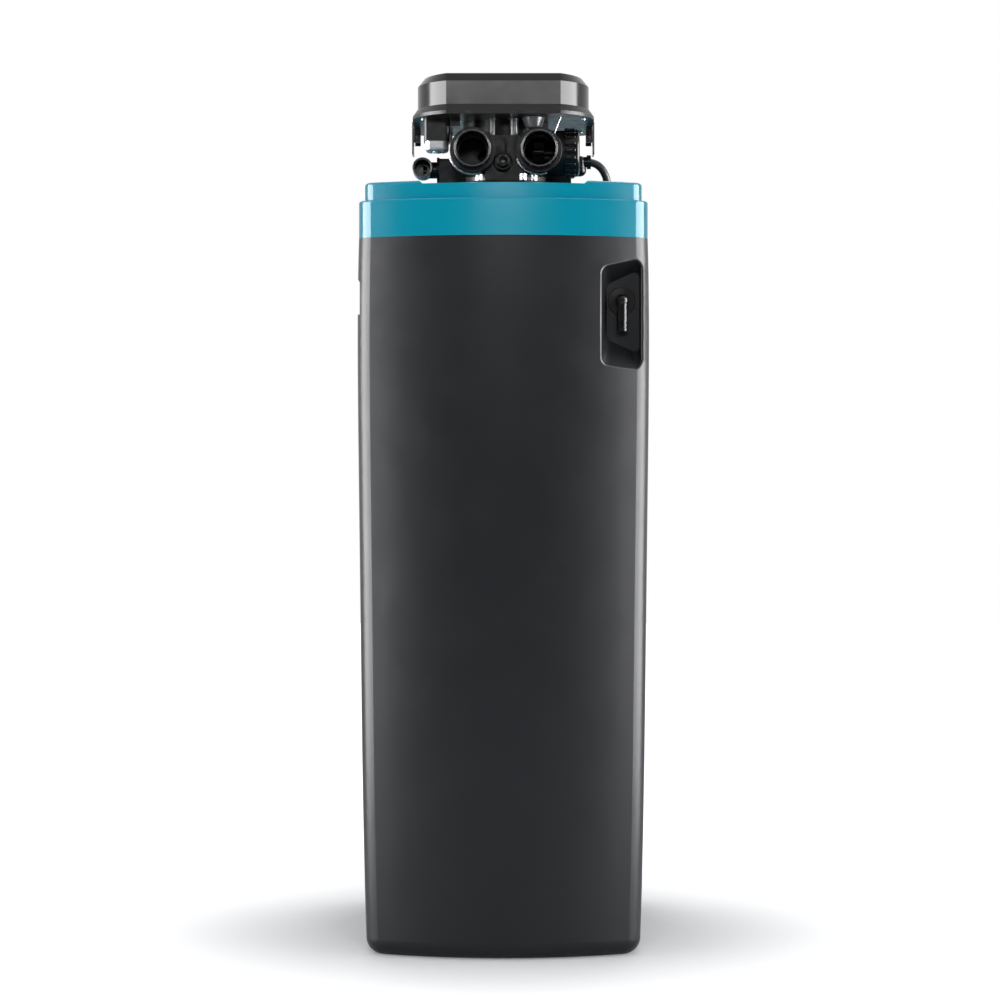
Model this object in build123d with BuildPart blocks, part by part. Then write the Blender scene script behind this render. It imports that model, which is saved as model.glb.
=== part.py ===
from build123d import *
import math
import os

# A cabinet water softener: a brine cabinet with a pressure tank inside, a disc
# valve on the tank's neck and a geared control head on top. Millimetres, +Z up.
# The origin is on the floor under the cabinet's middle. The pipe connections
# face -Y, the user's side with the salt lid and the display faces +Y.

os.makedirs("parts", exist_ok=True)

# Cabinet
cabinet_width = 345.0
cabinet_depth = 500.0
cabinet_height = 847.0
cabinet_wall = 3.5
rear_bulge = 36.0
front_bulge = 16.0
corner_radius = 24.0
smallest_corner = 4.0
bottom_edge_radius = 20.0

# How the cabinet's width follows its height, as shares of both
height_shares = (0.0, 0.16, 0.35, 0.62, 0.83, 1.0)
width_shares = (0.939, 0.961, 0.975, 0.990, 1.0, 0.9915)

# Top cover
cover_band_height = 44.0
cover_upper_height = 22.0
cover_ledge = 7.0
cover_wall = 3.2
cover_edge_radius = 4.0
cover_lip_height = 10.0
cover_lip_wall = 2.5

# Tank and valve axis
valve_x = 3.0
valve_y = -98.0
tank_radius = 128.5
tank_wall = 3.0
tank_dome_rise = 78.0
tank_neck_radius = 54.0
tank_neck_height = 25.0
tank_top = 911.0
tank_bottom_gap = 9.0

# Pipe connections
port_spacing = 79.4
port_height = 955.5
port_mouth_y = -195.0
port_bore_radius = 19.5
port_outer_radius = 22.0
tube_radius = 4.75
tube_wall = 1.5

# Control head
head_bottom = 996.0
head_rim_height = 12.0
head_height = 50.0
head_half_width = 109.5
head_rear_y = -196.0
head_front_y = -5.0
head_flat_half = 68.0
head_corner_depth = 60.0
head_front_radius = 20.0
head_wall = 2.5

# Gear train
gear_module = 1.25
main_teeth = 64
idler_teeth = 38
pinion_teeth = 12
gear_thickness = 8.0
gear_line_angle = 209.3

# Clearances and cutting overrun
running_clearance = 0.05
fit_clearance = 0.15
free_clearance = 0.3
overrun = 5.0

# Derived levels and places
cover_ledge_z = cabinet_height + cover_band_height
cover_top_z = cover_ledge_z + cover_upper_height
top_share = width_shares[-1]
head_rim_top = head_bottom + head_rim_height
head_top = head_bottom + head_height
valve_axis = Axis((valve_x, valve_y, 0), (0, 0, 1))


def finish(piece, label):
    """Label one finished piece and write it as a STEP file of that name."""
    piece.part.label = label
    export_step(piece.part, "parts/" + label + ".step")


def upright_plane(x, y):
    """The XZ plane through a vertical axis, with its normal towards -Y."""
    return Plane(origin=(x, y, 0), x_dir=(1, 0, 0), z_dir=(0, -1, 0))


def plane_along_y(x, y, z):
    """A plane across a Y axis, from which an extrusion runs towards -Y."""
    return Plane(origin=(x, y, z), x_dir=(1, 0, 0), z_dir=(0, -1, 0))


def plane_along_x(x, y, z):
    """A plane across an X axis, from which an extrusion runs towards +X."""
    return Plane(origin=(x, y, z), x_dir=(0, 1, 0), z_dir=(1, 0, 0))


def cabinet_outline(width_share, inset):
    """The cabinet's plan at one width share, drawn inwards by the inset."""
    shrink = cabinet_width * (1 - width_share) / 2
    half_width = cabinet_width / 2 - shrink - inset
    half_depth = cabinet_depth / 2 - shrink - inset
    rear_corner = half_depth - rear_bulge
    front_corner = half_depth - front_bulge
    with BuildSketch() as outline:
        with BuildLine():
            ThreePointArc((-half_width, -rear_corner), (0, -half_depth), (half_width, -rear_corner))
            Line((half_width, -rear_corner), (half_width, front_corner))
            ThreePointArc((half_width, front_corner), (0, half_depth), (-half_width, front_corner))
            Line((-half_width, front_corner), (-half_width, -rear_corner))
        make_face()
        fillet(outline.vertices(), max(corner_radius - inset, smallest_corner))
    return outline.sketch


def cabinet_form(inset, low):
    """The cabinet's body from a floor height to its top, drawn inwards by the inset."""
    with BuildPart() as form:
        for height_share, width_share in zip(height_shares, width_shares):
            level = low + height_share * (cabinet_height - low)
            with BuildSketch(Plane.XY.offset(level)):
                add(cabinet_outline(width_share, inset))
        loft()
        fillet(form.edges().group_by(Axis.Z)[0], bottom_edge_radius - inset)
    return form.part


# Recess for the overflow, at the rear on the right: the edges of its floor and of its wider
# rim, measured from the cabinet's right side, its top and its rear
recess_floor_inner_edge = 50.0
recess_floor_outer_edge = 11.5
recess_floor_low_edge = 119.0
recess_floor_high_edge = 54.0
recess_floor_depth = 52.0
recess_rim_inner_edge = 59.0
recess_rim_outer_edge = 9.5
recess_rim_low_edge = 155.0
recess_rim_high_edge = 33.0
recess_rim_depth = 10.0
recess_fan_share = 0.45
recess_corner = 12.0
recess_outer_corner = 6.0
recess_lip_radius = 2.5
recess_floor_left_x = cabinet_width / 2 - recess_floor_inner_edge
recess_floor_right_x = cabinet_width / 2 - recess_floor_outer_edge
recess_floor_low_z = cabinet_height - recess_floor_low_edge
recess_floor_high_z = cabinet_height - recess_floor_high_edge
recess_floor_y = recess_floor_depth - cabinet_depth / 2
recess_rim_left_x = cabinet_width / 2 - recess_rim_inner_edge
recess_rim_right_x = cabinet_width / 2 - recess_rim_outer_edge
recess_rim_low_z = cabinet_height - recess_rim_low_edge
recess_rim_high_z = cabinet_height - recess_rim_high_edge
recess_rim_y = recess_rim_depth - cabinet_depth / 2
recess_mouth_y = -cabinet_depth / 2 - overrun


def recess_form(grow):
    """The recess as a solid that widens outwards, or grown by a wall for its lining."""
    # The sides keep their slope past the rim, out to the mouth.
    mouth_share = (recess_floor_y - recess_mouth_y) / (recess_floor_y - recess_rim_y)
    with BuildPart() as form:
        for share, level in ((0.0, recess_floor_y + grow), (mouth_share, recess_mouth_y)):
            left = recess_floor_left_x + share * (recess_rim_left_x - recess_floor_left_x) - grow
            right = recess_floor_right_x + share * (recess_rim_right_x - recess_floor_right_x)
            low = recess_floor_low_z + share * (recess_rim_low_z - recess_floor_low_z) - grow
            high = recess_floor_high_z + share * (recess_rim_high_z - recess_floor_high_z) + grow
            # The lining runs on to the cabinet's side, so the wall beyond the recess is solid.
            if grow:
                right = cabinet_width / 2 + overrun
            rise = recess_fan_share * (right - left)
            with BuildSketch(Plane(origin=(0, level, 0), x_dir=(1, 0, 0), z_dir=(0, -1, 0))):
                with BuildLine():
                    Polyline((left, low), (right, low - rise), (right, high + rise), (left, high), close=True)
                make_face()
                fillet(vertices().group_by(Axis.X)[-1], recess_outer_corner)
                fillet(vertices().group_by(Axis.X)[0], recess_corner)
        loft()
    return form.part


# Side grip: a long shallow groove on the left
grip_low_edge = 90.0
grip_high_edge = 48.0
grip_depth = 3.0
grip_rear_edge = 22.0
grip_front_y = -40.0
grip_radius = 2.0
grip_low_z = cabinet_height - grip_low_edge
grip_high_z = cabinet_height - grip_high_edge
grip_rear_y = grip_rear_edge - cabinet_depth / 2

# Overflow hole through the recess floor
overflow_from_side = 32.5
overflow_below_top = 74.0
overflow_x = cabinet_width / 2 - overflow_from_side
overflow_z = cabinet_height - overflow_below_top
overflow_hole_radius = 11.0


def grip_form(grow):
    """The side grip as a solid, grown by a wall for its lining."""
    groove_height = grip_high_z - grip_low_z + 2 * grow
    groove_length = grip_front_y - grip_rear_y + 2 * grow
    groove_middle = (grip_front_y + grip_rear_y) / 2
    reach = grip_depth + grow + overrun
    middle_x = reach / 2 - overrun - cabinet_width / 2
    with BuildPart() as form:
        with Locations((middle_x, groove_middle, (grip_low_z + grip_high_z) / 2)):
            Box(reach, groove_length, groove_height)
        fillet(form.edges().filter_by(Axis.X), grip_radius)
    return form.part


cabinet_body = cabinet_form(0, 0)
cabinet_cavity = cabinet_form(cabinet_wall, cabinet_wall)

# Cabinet's free inside, with the linings of the recess and the grip left standing
with BuildPart() as cabinet_space:
    add(cabinet_cavity)
    extrude(cabinet_space.faces().sort_by(Axis.Z)[-1], amount=overrun)
    add(recess_form(cabinet_wall), mode=Mode.SUBTRACT)
    add(grip_form(cabinet_wall), mode=Mode.SUBTRACT)

with BuildPart() as cabinet:
    add(cabinet_body)
    add(cabinet_space.part, mode=Mode.SUBTRACT)
    add(recess_form(0), mode=Mode.SUBTRACT)
    rear_edges = cabinet.edges(Select.LAST).filter_by(lambda edge: edge.center().Y < recess_rim_y + recess_corner)
    fillet(rear_edges, recess_lip_radius)
    add(grip_form(0), mode=Mode.SUBTRACT)
    with BuildSketch(plane_along_y(overflow_x, recess_floor_y + cabinet_wall + overrun, overflow_z)):
        Circle(overflow_hole_radius)
    extrude(amount=cabinet_wall + 2 * overrun, mode=Mode.SUBTRACT)
finish(cabinet, "cabinet")

# Overflow grommet, elbow and nut
overflow_stub_radius = 7.5
overflow_bore_radius = 5.0
overflow_spout_radius = 6.5
overflow_spout_reach = 14.0
overflow_spout_y = recess_floor_y - overflow_spout_reach
overflow_spout_length = 36.0
grommet_flange_radius = 16.5
grommet_flange_thickness = 2.5
overflow_nut_radius = 14.0
overflow_nut_thickness = 7.0
overflow_thread_length = 14.0
overflow_groove_depth = 0.7
overflow_groove_width = 1.6
overflow_groove_shares = (0.225, 0.72, 0.86)

with BuildPart() as overflow_grommet:
    with BuildSketch(plane_along_y(overflow_x, recess_floor_y, overflow_z)):
        Circle(grommet_flange_radius)
    extrude(amount=grommet_flange_thickness)
    fillet(overflow_grommet.edges().group_by(Axis.Y)[0], grommet_flange_thickness / 2)
    with BuildSketch(plane_along_y(overflow_x, recess_floor_y, overflow_z)):
        Circle(overflow_hole_radius - fit_clearance)
    extrude(amount=-cabinet_wall)
    with BuildSketch(plane_along_y(overflow_x, recess_floor_y + cabinet_wall, overflow_z)):
        Circle(overflow_stub_radius + running_clearance)
    extrude(amount=cabinet_wall + grommet_flange_thickness, mode=Mode.SUBTRACT)
finish(overflow_grommet, "overflow_grommet")

overflow_back_y = recess_floor_y + cabinet_wall + overflow_thread_length

with BuildPart() as overflow_elbow:
    with BuildSketch(plane_along_y(overflow_x, overflow_back_y, overflow_z)):
        Circle(overflow_stub_radius)
    extrude(amount=overflow_back_y - overflow_spout_y)
    with BuildSketch(Plane(origin=(overflow_x, overflow_spout_y, overflow_z), z_dir=(0, 0, -1))):
        Circle(overflow_spout_radius)
    extrude(amount=overflow_spout_length)
    with Locations((overflow_x, overflow_spout_y, overflow_z)):
        Sphere(overflow_stub_radius)
    for groove_share in overflow_groove_shares:
        groove_z = overflow_z - overflow_spout_length * groove_share
        with BuildSketch(Plane(origin=(overflow_x, overflow_spout_y, groove_z), z_dir=(0, 0, -1))):
            Circle(overflow_spout_radius)
            Circle(overflow_spout_radius - overflow_groove_depth, mode=Mode.SUBTRACT)
        extrude(amount=overflow_groove_width, mode=Mode.SUBTRACT)
    with BuildSketch(plane_along_y(overflow_x, overflow_back_y, overflow_z)):
        Circle(overflow_bore_radius)
    extrude(amount=overflow_back_y - overflow_spout_y, mode=Mode.SUBTRACT)
    with BuildSketch(Plane(origin=(overflow_x, overflow_spout_y, overflow_z), z_dir=(0, 0, -1))):
        Circle(overflow_bore_radius)
    extrude(amount=overflow_spout_length, mode=Mode.SUBTRACT)
finish(overflow_elbow, "overflow_elbow")

nut_front_y = recess_floor_y + cabinet_wall + free_clearance

with BuildPart() as overflow_nut:
    with BuildSketch(plane_along_y(overflow_x, nut_front_y + overflow_nut_thickness, overflow_z)):
        RegularPolygon(overflow_nut_radius, 6, major_radius=True)
        Circle(overflow_stub_radius + fit_clearance, mode=Mode.SUBTRACT)
    extrude(amount=overflow_nut_thickness)
finish(overflow_nut, "overflow_nut")

# Top cover with the lowered field behind, the salt opening in front and the hinge posts
lowered_depth = 4.0
lowered_half_width = 99.0
lowered_front_y = 4.0
neck_hole_radius = 59.0
grommet_hole_radius = 8.0
cover_hole_x = 129.0
ledge_edge_radius = 2.5
lid_inset = 12.0
lid_rear_y = 28.0
lid_corner = 6.0
lid_wall = 2.5
lid_height = 10.0
coaming_height = 6.0
coaming_wall = 3.0
coaming_gap = 4.0
hinge_pin_radius = 2.0
hinge_axis_y = 20.0
hinge_knuckle_radius = 4.5
hinge_lift = 6.0
hinge_post_width = 10.0
hinge_post_shares = (0.30, 0.92)
hinge_axis_z = cover_top_z + hinge_lift


def band_outline(inset):
    """The cover's plan, which is the cabinet's top plan drawn inwards by the inset."""
    return cabinet_outline(top_share, inset)


def front_outline(inset, rear_y):
    """The part of the cover's plan that lies in front of a straight rear edge."""
    with BuildSketch() as outline:
        add(band_outline(inset))
        with Locations((0, rear_y)):
            Rectangle(cabinet_width, cabinet_depth, align=(Align.CENTER, Align.MIN), mode=Mode.INTERSECT)
        fillet(outline.vertices().group_by(Axis.Y)[0], lid_corner)
    return outline.sketch


def lowered_form(top, depth, grow):
    """The lowered field behind the salt lid, with ends that slope at 45 degrees."""
    half = lowered_half_width + grow
    with BuildPart() as form:
        with BuildSketch(Plane.XZ.offset(-(lowered_front_y + grow))):
            with BuildLine():
                Polyline(
                    (-half - overrun, top + overrun),
                    (half + overrun, top + overrun),
                    (half - depth, top - depth),
                    (-half + depth, top - depth),
                    close=True,
                )
            make_face()
        extrude(amount=cabinet_depth)
    return form.part


lip_inset = cabinet_wall + fit_clearance
coaming_inset = cover_ledge + lid_inset + coaming_gap
opening_inset = coaming_inset + coaming_wall
opening_rear_y = lid_rear_y + coaming_gap + coaming_wall

with BuildPart() as cover_space:
    lip_bottom = cabinet_height - cover_lip_height
    with BuildSketch(Plane.XY.offset(lip_bottom - overrun)):
        add(band_outline(lip_inset + cover_lip_wall))
    extrude(amount=cover_ledge_z - cover_wall - lip_bottom + overrun)
    with BuildSketch(Plane.XY.offset(cabinet_height + cover_wall)):
        add(band_outline(cover_wall))
    extrude(amount=cover_band_height - 2 * cover_wall)
    with BuildSketch(Plane.XY.offset(cabinet_height)):
        add(band_outline(cover_ledge + cover_wall))
    extrude(amount=cover_band_height + cover_upper_height - cover_wall)
    add(lowered_form(cover_top_z - cover_wall, lowered_depth, cover_wall), mode=Mode.SUBTRACT)

with BuildPart() as top_cover:
    with BuildSketch(Plane.XY.offset(cabinet_height)):
        add(band_outline(0))
    extrude(amount=cover_band_height)
    fillet(top_cover.edges().group_by(Axis.Z)[-1], ledge_edge_radius)
    with BuildSketch(Plane.XY.offset(cover_ledge_z)):
        add(band_outline(cover_ledge))
    extrude(amount=cover_upper_height)
    fillet(top_cover.edges().group_by(Axis.Z)[-1], cover_edge_radius)
    add(lowered_form(cover_top_z, lowered_depth, 0), mode=Mode.SUBTRACT)
    with BuildSketch(Plane.XY.offset(cabinet_height - cover_lip_height)):
        add(band_outline(lip_inset))
    extrude(amount=cover_lip_height)
    add(cover_space.part, mode=Mode.SUBTRACT)
    with BuildSketch(Plane.XY.offset(cover_top_z - cover_wall)):
        add(front_outline(coaming_inset, lid_rear_y + coaming_gap))
    extrude(amount=coaming_height + cover_wall)
    with BuildSketch(Plane.XY.offset(cover_top_z - cover_wall - overrun)):
        add(front_outline(opening_inset, opening_rear_y))
    extrude(amount=coaming_height + cover_wall + 2 * overrun, mode=Mode.SUBTRACT)
    with BuildSketch(Plane.XY.offset(cover_top_z - cover_wall - lowered_depth - overrun)):
        with Locations((valve_x, valve_y)):
            Circle(neck_hole_radius)
        with Locations((cover_hole_x, valve_y)):
            Circle(grommet_hole_radius)
    extrude(amount=cover_wall + lowered_depth + 2 * overrun, mode=Mode.SUBTRACT)
    for side in (-1, 1):
        for post_share in hinge_post_shares:
            post_x = side * post_share * lowered_half_width
            with BuildSketch(plane_along_x(post_x - hinge_post_width / 2, hinge_axis_y, hinge_axis_z)):
                Circle(hinge_knuckle_radius)
                with Locations((0, -hinge_lift / 2 - cover_wall / 2)):
                    Rectangle(2 * hinge_knuckle_radius, hinge_lift + cover_wall)
                Circle(hinge_pin_radius, mode=Mode.SUBTRACT)
            extrude(amount=hinge_post_width)
finish(top_cover, "top_cover")

hinge_pin_length = 2 * hinge_post_shares[-1] * lowered_half_width + 2 * hinge_post_width

with BuildPart() as lid_hinge_pin:
    with BuildSketch(plane_along_x(-hinge_pin_length / 2, hinge_axis_y, hinge_axis_z)):
        Circle(hinge_pin_radius)
    extrude(amount=hinge_pin_length)
finish(lid_hinge_pin, "lid_hinge_pin")

# Salt lid, which stands just clear of the cover and turns on the pin
lid_knuckle_shares = (0.44, 0.78)
lid_knuckle_width = 14.0
lid_edge_radius = 3.0
lid_tab_width = 60.0
lid_tab_reach = 3.0
lid_tab_thickness = 3.0
lid_low_z = cover_top_z + free_clearance
lid_outer_inset = cover_ledge + lid_inset

with BuildPart() as salt_lid:
    with BuildSketch(Plane.XY.offset(lid_low_z)):
        add(front_outline(lid_outer_inset, lid_rear_y))
    extrude(amount=lid_height)
    fillet(salt_lid.edges().group_by(Axis.Z)[-1], lid_edge_radius)
    with BuildSketch(Plane.XY.offset(lid_low_z)):
        add(front_outline(lid_outer_inset + lid_wall, lid_rear_y + lid_wall))
    extrude(amount=lid_height - lid_wall, mode=Mode.SUBTRACT)
    tab_y = cabinet_depth / 2 - cabinet_width * (1 - top_share) / 2 - lid_outer_inset
    with Locations((0, tab_y, lid_low_z + lid_tab_thickness / 2)):
        Box(lid_tab_width, 2 * lid_tab_reach, lid_tab_thickness)
    for side in (-1, 1):
        for knuckle_share in lid_knuckle_shares:
            knuckle_x = side * knuckle_share * lowered_half_width - lid_knuckle_width / 2
            arm_length = lid_rear_y + lid_wall - hinge_axis_y
            with BuildSketch(plane_along_x(knuckle_x, hinge_axis_y, hinge_axis_z)):
                Circle(hinge_knuckle_radius)
                with Locations((arm_length / 2, hinge_knuckle_radius / 2 - lid_wall / 2)):
                    Rectangle(arm_length, lid_wall)
                Circle(hinge_pin_radius + running_clearance, mode=Mode.SUBTRACT)
            extrude(amount=lid_knuckle_width)
finish(salt_lid, "salt_lid")

# Pressure tank: a shell with domed ends and a neck, standing in a boot
boot_base_radius = 112.0
boot_top_radius = 131.5
boot_flare_height = 28.0
boot_height = 96.0
tank_bottom_z = cabinet_wall + tank_bottom_gap
tank_thread_radius = 31.5
tank_shoulder_z = tank_top - tank_neck_height


def tank_form(shrink):
    """The tank's domed body as a solid, drawn inwards by the given amount."""
    radius = tank_radius - shrink
    rise = tank_dome_rise - shrink
    low_centre = tank_bottom_z + tank_dome_rise
    high_centre = tank_shoulder_z + tank_wall - tank_dome_rise
    with BuildPart() as form:
        with BuildSketch(upright_plane(valve_x, valve_y)):
            with Locations((0, low_centre), (0, high_centre)):
                Ellipse(radius, rise)
            with Locations((0, (low_centre + high_centre) / 2)):
                Rectangle(2 * radius, high_centre - low_centre)
            Rectangle(2 * tank_radius, 2 * tank_top, align=(Align.MIN, Align.CENTER), mode=Mode.INTERSECT)
        revolve(axis=valve_axis)
    return form.part


tank_inside = tank_form(tank_wall)

with BuildPart() as pressure_tank:
    add(tank_form(0))
    with BuildSketch(Plane.XY.offset(tank_shoulder_z - tank_neck_height)):
        with Locations((valve_x, valve_y)):
            Circle(tank_neck_radius)
    extrude(amount=2 * tank_neck_height)
    fillet(pressure_tank.edges().group_by(Axis.Z)[-1], tank_wall / 2)
    add(tank_inside, mode=Mode.SUBTRACT)
    with BuildSketch(Plane.XY.offset(tank_shoulder_z - 2 * tank_neck_height)):
        with Locations((valve_x, valve_y)):
            Circle(tank_thread_radius)
    extrude(amount=3 * tank_neck_height + overrun, mode=Mode.SUBTRACT)
finish(pressure_tank, "pressure_tank")

with BuildPart() as tank_boot:
    with BuildSketch(upright_plane(valve_x, valve_y)):
        with BuildLine():
            Polyline(
                (0, cabinet_wall),
                (boot_base_radius, cabinet_wall),
                (boot_top_radius, cabinet_wall + boot_flare_height),
                (boot_top_radius, cabinet_wall + boot_height),
                (0, cabinet_wall + boot_height),
                close=True,
            )
        make_face()
    revolve(axis=valve_axis)
    add(tank_form(-free_clearance), mode=Mode.SUBTRACT)
finish(tank_boot, "tank_boot")

# Riser tube with its lower distributor, upper basket and the resin around them
riser_radius = 13.35
riser_wall = 2.0
riser_top_z = 920.0
distributor_radius = 25.0
distributor_height = 55.0
distributor_slot_count = 12
distributor_slot_width = 2.0
distributor_slot_shares = (0.25, 0.5, 0.75)
basket_radius = 29.0
basket_height = 50.0
basket_wall = 2.0
resin_top_z = 620.0
dome_share = distributor_radius / (tank_radius - tank_wall)
dome_lift = (tank_dome_rise - tank_wall) * (1 - math.sqrt(1 - dome_share**2))
distributor_low_z = tank_bottom_z + tank_wall + dome_lift + free_clearance
distributor_top_z = distributor_low_z + distributor_height

with BuildPart() as lower_distributor:
    with BuildSketch(Plane.XY.offset(distributor_low_z)):
        with Locations((valve_x, valve_y)):
            Circle(distributor_radius)
    extrude(amount=distributor_height)
    fillet(lower_distributor.edges().group_by(Axis.Z)[-1], riser_wall)
    with BuildSketch(Plane.XY.offset(distributor_low_z + riser_wall)):
        with Locations((valve_x, valve_y)):
            Circle(riser_radius + fit_clearance)
    extrude(amount=distributor_height, mode=Mode.SUBTRACT)
    for slot_share in distributor_slot_shares:
        slot_z = distributor_low_z + distributor_height * slot_share
        with Locations((valve_x, valve_y, slot_z)):
            with PolarLocations(distributor_radius, distributor_slot_count):
                Box(riser_radius, distributor_slot_width, 2 * distributor_slot_width, mode=Mode.SUBTRACT)
finish(lower_distributor, "lower_distributor")

riser_low_z = distributor_low_z + 2 * riser_wall

with BuildPart() as riser_tube:
    with BuildSketch(Plane.XY.offset(riser_low_z)):
        with Locations((valve_x, valve_y)):
            Circle(riser_radius)
            Circle(riser_radius - riser_wall, mode=Mode.SUBTRACT)
    extrude(amount=riser_top_z - riser_low_z)
finish(riser_tube, "riser_tube")

with BuildPart() as resin_bed:
    add(tank_form(tank_wall + free_clearance))
    with BuildSketch(Plane.XY.offset(resin_top_z)):
        with Locations((valve_x, valve_y)):
            Circle(tank_radius)
    extrude(amount=tank_top, mode=Mode.SUBTRACT)
    with BuildSketch():
        with Locations((valve_x, valve_y)):
            Circle(riser_radius + free_clearance)
    extrude(amount=tank_top, mode=Mode.SUBTRACT)
    with BuildSketch():
        with Locations((valve_x, valve_y)):
            Circle(distributor_radius + free_clearance)
    extrude(amount=distributor_top_z + free_clearance, mode=Mode.SUBTRACT)
finish(resin_bed, "resin_bed")

# Valve body with its neck, flange, drum, port sockets and side bosses
flange_radius = 79.0
flange_height = 6.0
flange_edge_radius = 2.0
seal_gap = 3.0
neck_thread_depth = 24.0
drum_radius = 52.0
socket_radius = 26.5
socket_front_y = -178.0
socket_bore_radius = port_outer_radius + fit_clearance / 2
socket_bore_depth = 16.0
flow_bore_radius = 17.0
flow_end_y = -112.0
chamber_radius = 34.0
chamber_depth = 19.0
passage_radius = 5.0
passage_circle = 22.0
gallery_radius = 7.0
gallery_offset = 27.0
meter_y = -147.0
meter_boss_radius = 27.0
meter_thread_radius = 24.5
meter_face_x = 73.0
meter_thread_length = 13.0
meter_bore_radius = 20.0
injector_x = -0.5
injector_z = 942.5
injector_boss_radius = 11.3
injector_front_y = -172.0
bolt_shank_radius = 5.0
bolt_shank_length = 20.0
web_left_x = -22.0
web_right_x = 27.0
web_front_y = -165.0
web_top_z = 975.0
drain_face_x = -78.0
drain_z = 941.0
drain_block_top_z = 953.0
drain_block_half_depth = 18.0
drain_spigot_radius = 8.0
drain_spigot_length = 16.0
brine_face_x = 86.0
brine_z = 941.0
brine_boss_radius = 10.0
brine_block_x = 82.5
brine_block_top_z = 941.0
brine_block_half_depth = 18.0
brine_leg_radius = 7.5
brine_leg_depth = 12.0
flange_z = tank_top + seal_gap
flange_top_z = flange_z + flange_height
left_port_x = valve_x - port_spacing / 2
right_port_x = valve_x + port_spacing / 2
chamber_floor_z = head_bottom - chamber_depth

with BuildPart() as valve_body:
    with BuildSketch(Plane.XY.offset(flange_z)):
        with Locations((valve_x, valve_y)):
            Circle(flange_radius)
    extrude(amount=flange_height)
    fillet(valve_body.edges().group_by(Axis.Z)[-1], flange_edge_radius)
    with BuildSketch(Plane.XY.offset(flange_z - neck_thread_depth)):
        with Locations((valve_x, valve_y)):
            Circle(tank_thread_radius - fit_clearance)
    extrude(amount=neck_thread_depth)
    with BuildSketch(Plane.XY.offset(flange_top_z)):
        with Locations((valve_x, valve_y)):
            Circle(drum_radius)
    extrude(amount=head_bottom - flange_top_z)
    for port_x in (left_port_x, right_port_x):
        with BuildSketch(plane_along_y(port_x, valve_y, port_height)):
            Circle(socket_radius)
        extrude(amount=valve_y - socket_front_y)
    with BuildSketch(plane_along_x(right_port_x, meter_y, port_height)):
        Circle(meter_boss_radius)
    extrude(amount=meter_face_x - right_port_x)
    with BuildSketch(plane_along_x(right_port_x, meter_y, port_height)):
        Circle(meter_thread_radius)
    extrude(amount=meter_face_x + meter_thread_length - right_port_x)
    with BuildSketch(plane_along_y(injector_x, valve_y, injector_z)):
        Circle(injector_boss_radius)
    extrude(amount=valve_y - injector_front_y)
    web_middle_x = (web_left_x + web_right_x) / 2
    with Locations((web_middle_x, (web_front_y + valve_y) / 2, (flange_top_z + web_top_z) / 2)):
        Box(web_right_x - web_left_x, valve_y - web_front_y, web_top_z - flange_top_z)
    with Locations(((drain_face_x + valve_x) / 2, valve_y, (flange_top_z + drain_block_top_z) / 2)):
        Box(valve_x - drain_face_x, 2 * drain_block_half_depth, drain_block_top_z - flange_top_z)
    with Locations(((brine_block_x + valve_x) / 2, valve_y, (flange_top_z + brine_block_top_z) / 2)):
        Box(brine_block_x - valve_x, 2 * brine_block_half_depth, brine_block_top_z - flange_top_z)
    with BuildSketch(plane_along_x(valve_x, valve_y, brine_z)):
        Circle(brine_boss_radius)
    extrude(amount=brine_face_x - valve_x)
    # Port sockets and the flow bores behind them
    for port_x in (left_port_x, right_port_x):
        with BuildSketch(plane_along_y(port_x, flow_end_y, port_height)):
            Circle(flow_bore_radius)
        extrude(amount=flow_end_y - socket_front_y + overrun, mode=Mode.SUBTRACT)
        with BuildSketch(plane_along_y(port_x, socket_front_y + socket_bore_depth, port_height)):
            Circle(socket_bore_radius)
        extrude(amount=socket_bore_depth + overrun, mode=Mode.SUBTRACT)
    # Disc chamber, open at the top, and the passages beneath its floor
    with BuildSketch(Plane.XY.offset(chamber_floor_z)):
        with Locations((valve_x, valve_y)):
            Circle(chamber_radius)
    extrude(amount=chamber_depth + overrun, mode=Mode.SUBTRACT)
    with BuildSketch(Plane.XY.offset(riser_top_z)):
        with Locations((valve_x, valve_y)):
            Circle(passage_radius)
    extrude(amount=chamber_floor_z - riser_top_z, mode=Mode.SUBTRACT)
    with BuildSketch(Plane.XY.offset(flange_z - neck_thread_depth - overrun)):
        with Locations((valve_x, valve_y)):
            Circle(riser_radius + fit_clearance)
    extrude(amount=riser_top_z - flange_z + neck_thread_depth + overrun, mode=Mode.SUBTRACT)
    for side in (-1, 1):
        gallery_x = valve_x + side * gallery_offset
        with BuildSketch(plane_along_y(gallery_x, valve_y + gallery_radius, port_height)):
            Circle(gallery_radius)
        extrude(amount=valve_y + gallery_radius - flow_end_y, mode=Mode.SUBTRACT)
        with BuildSketch(Plane.XY.offset(port_height)):
            with Locations((valve_x + side * passage_circle, valve_y)):
                Circle(passage_radius)
        extrude(amount=chamber_floor_z - port_height, mode=Mode.SUBTRACT)
    # Meter bore, injector bolt, drain and brine bores
    with BuildSketch(plane_along_x(right_port_x + flow_bore_radius / 2, meter_y, port_height)):
        Circle(meter_bore_radius)
    extrude(amount=meter_face_x, mode=Mode.SUBTRACT)
    bolt_end_y = injector_front_y + bolt_shank_length + free_clearance
    with BuildSketch(plane_along_y(injector_x, bolt_end_y, injector_z)):
        Circle(bolt_shank_radius + fit_clearance)
    extrude(amount=bolt_shank_length + overrun, mode=Mode.SUBTRACT)
    with BuildSketch(plane_along_x(drain_face_x - overrun, valve_y, drain_z)):
        Circle(drain_spigot_radius + running_clearance)
    extrude(amount=drain_spigot_length + overrun + free_clearance, mode=Mode.SUBTRACT)
    with BuildSketch(plane_along_x(brine_face_x - brine_leg_depth - free_clearance, valve_y, brine_z)):
        Circle(brine_leg_radius + fit_clearance / 2)
    extrude(amount=brine_leg_depth + overrun, mode=Mode.SUBTRACT)
finish(valve_body, "valve_body")

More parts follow.
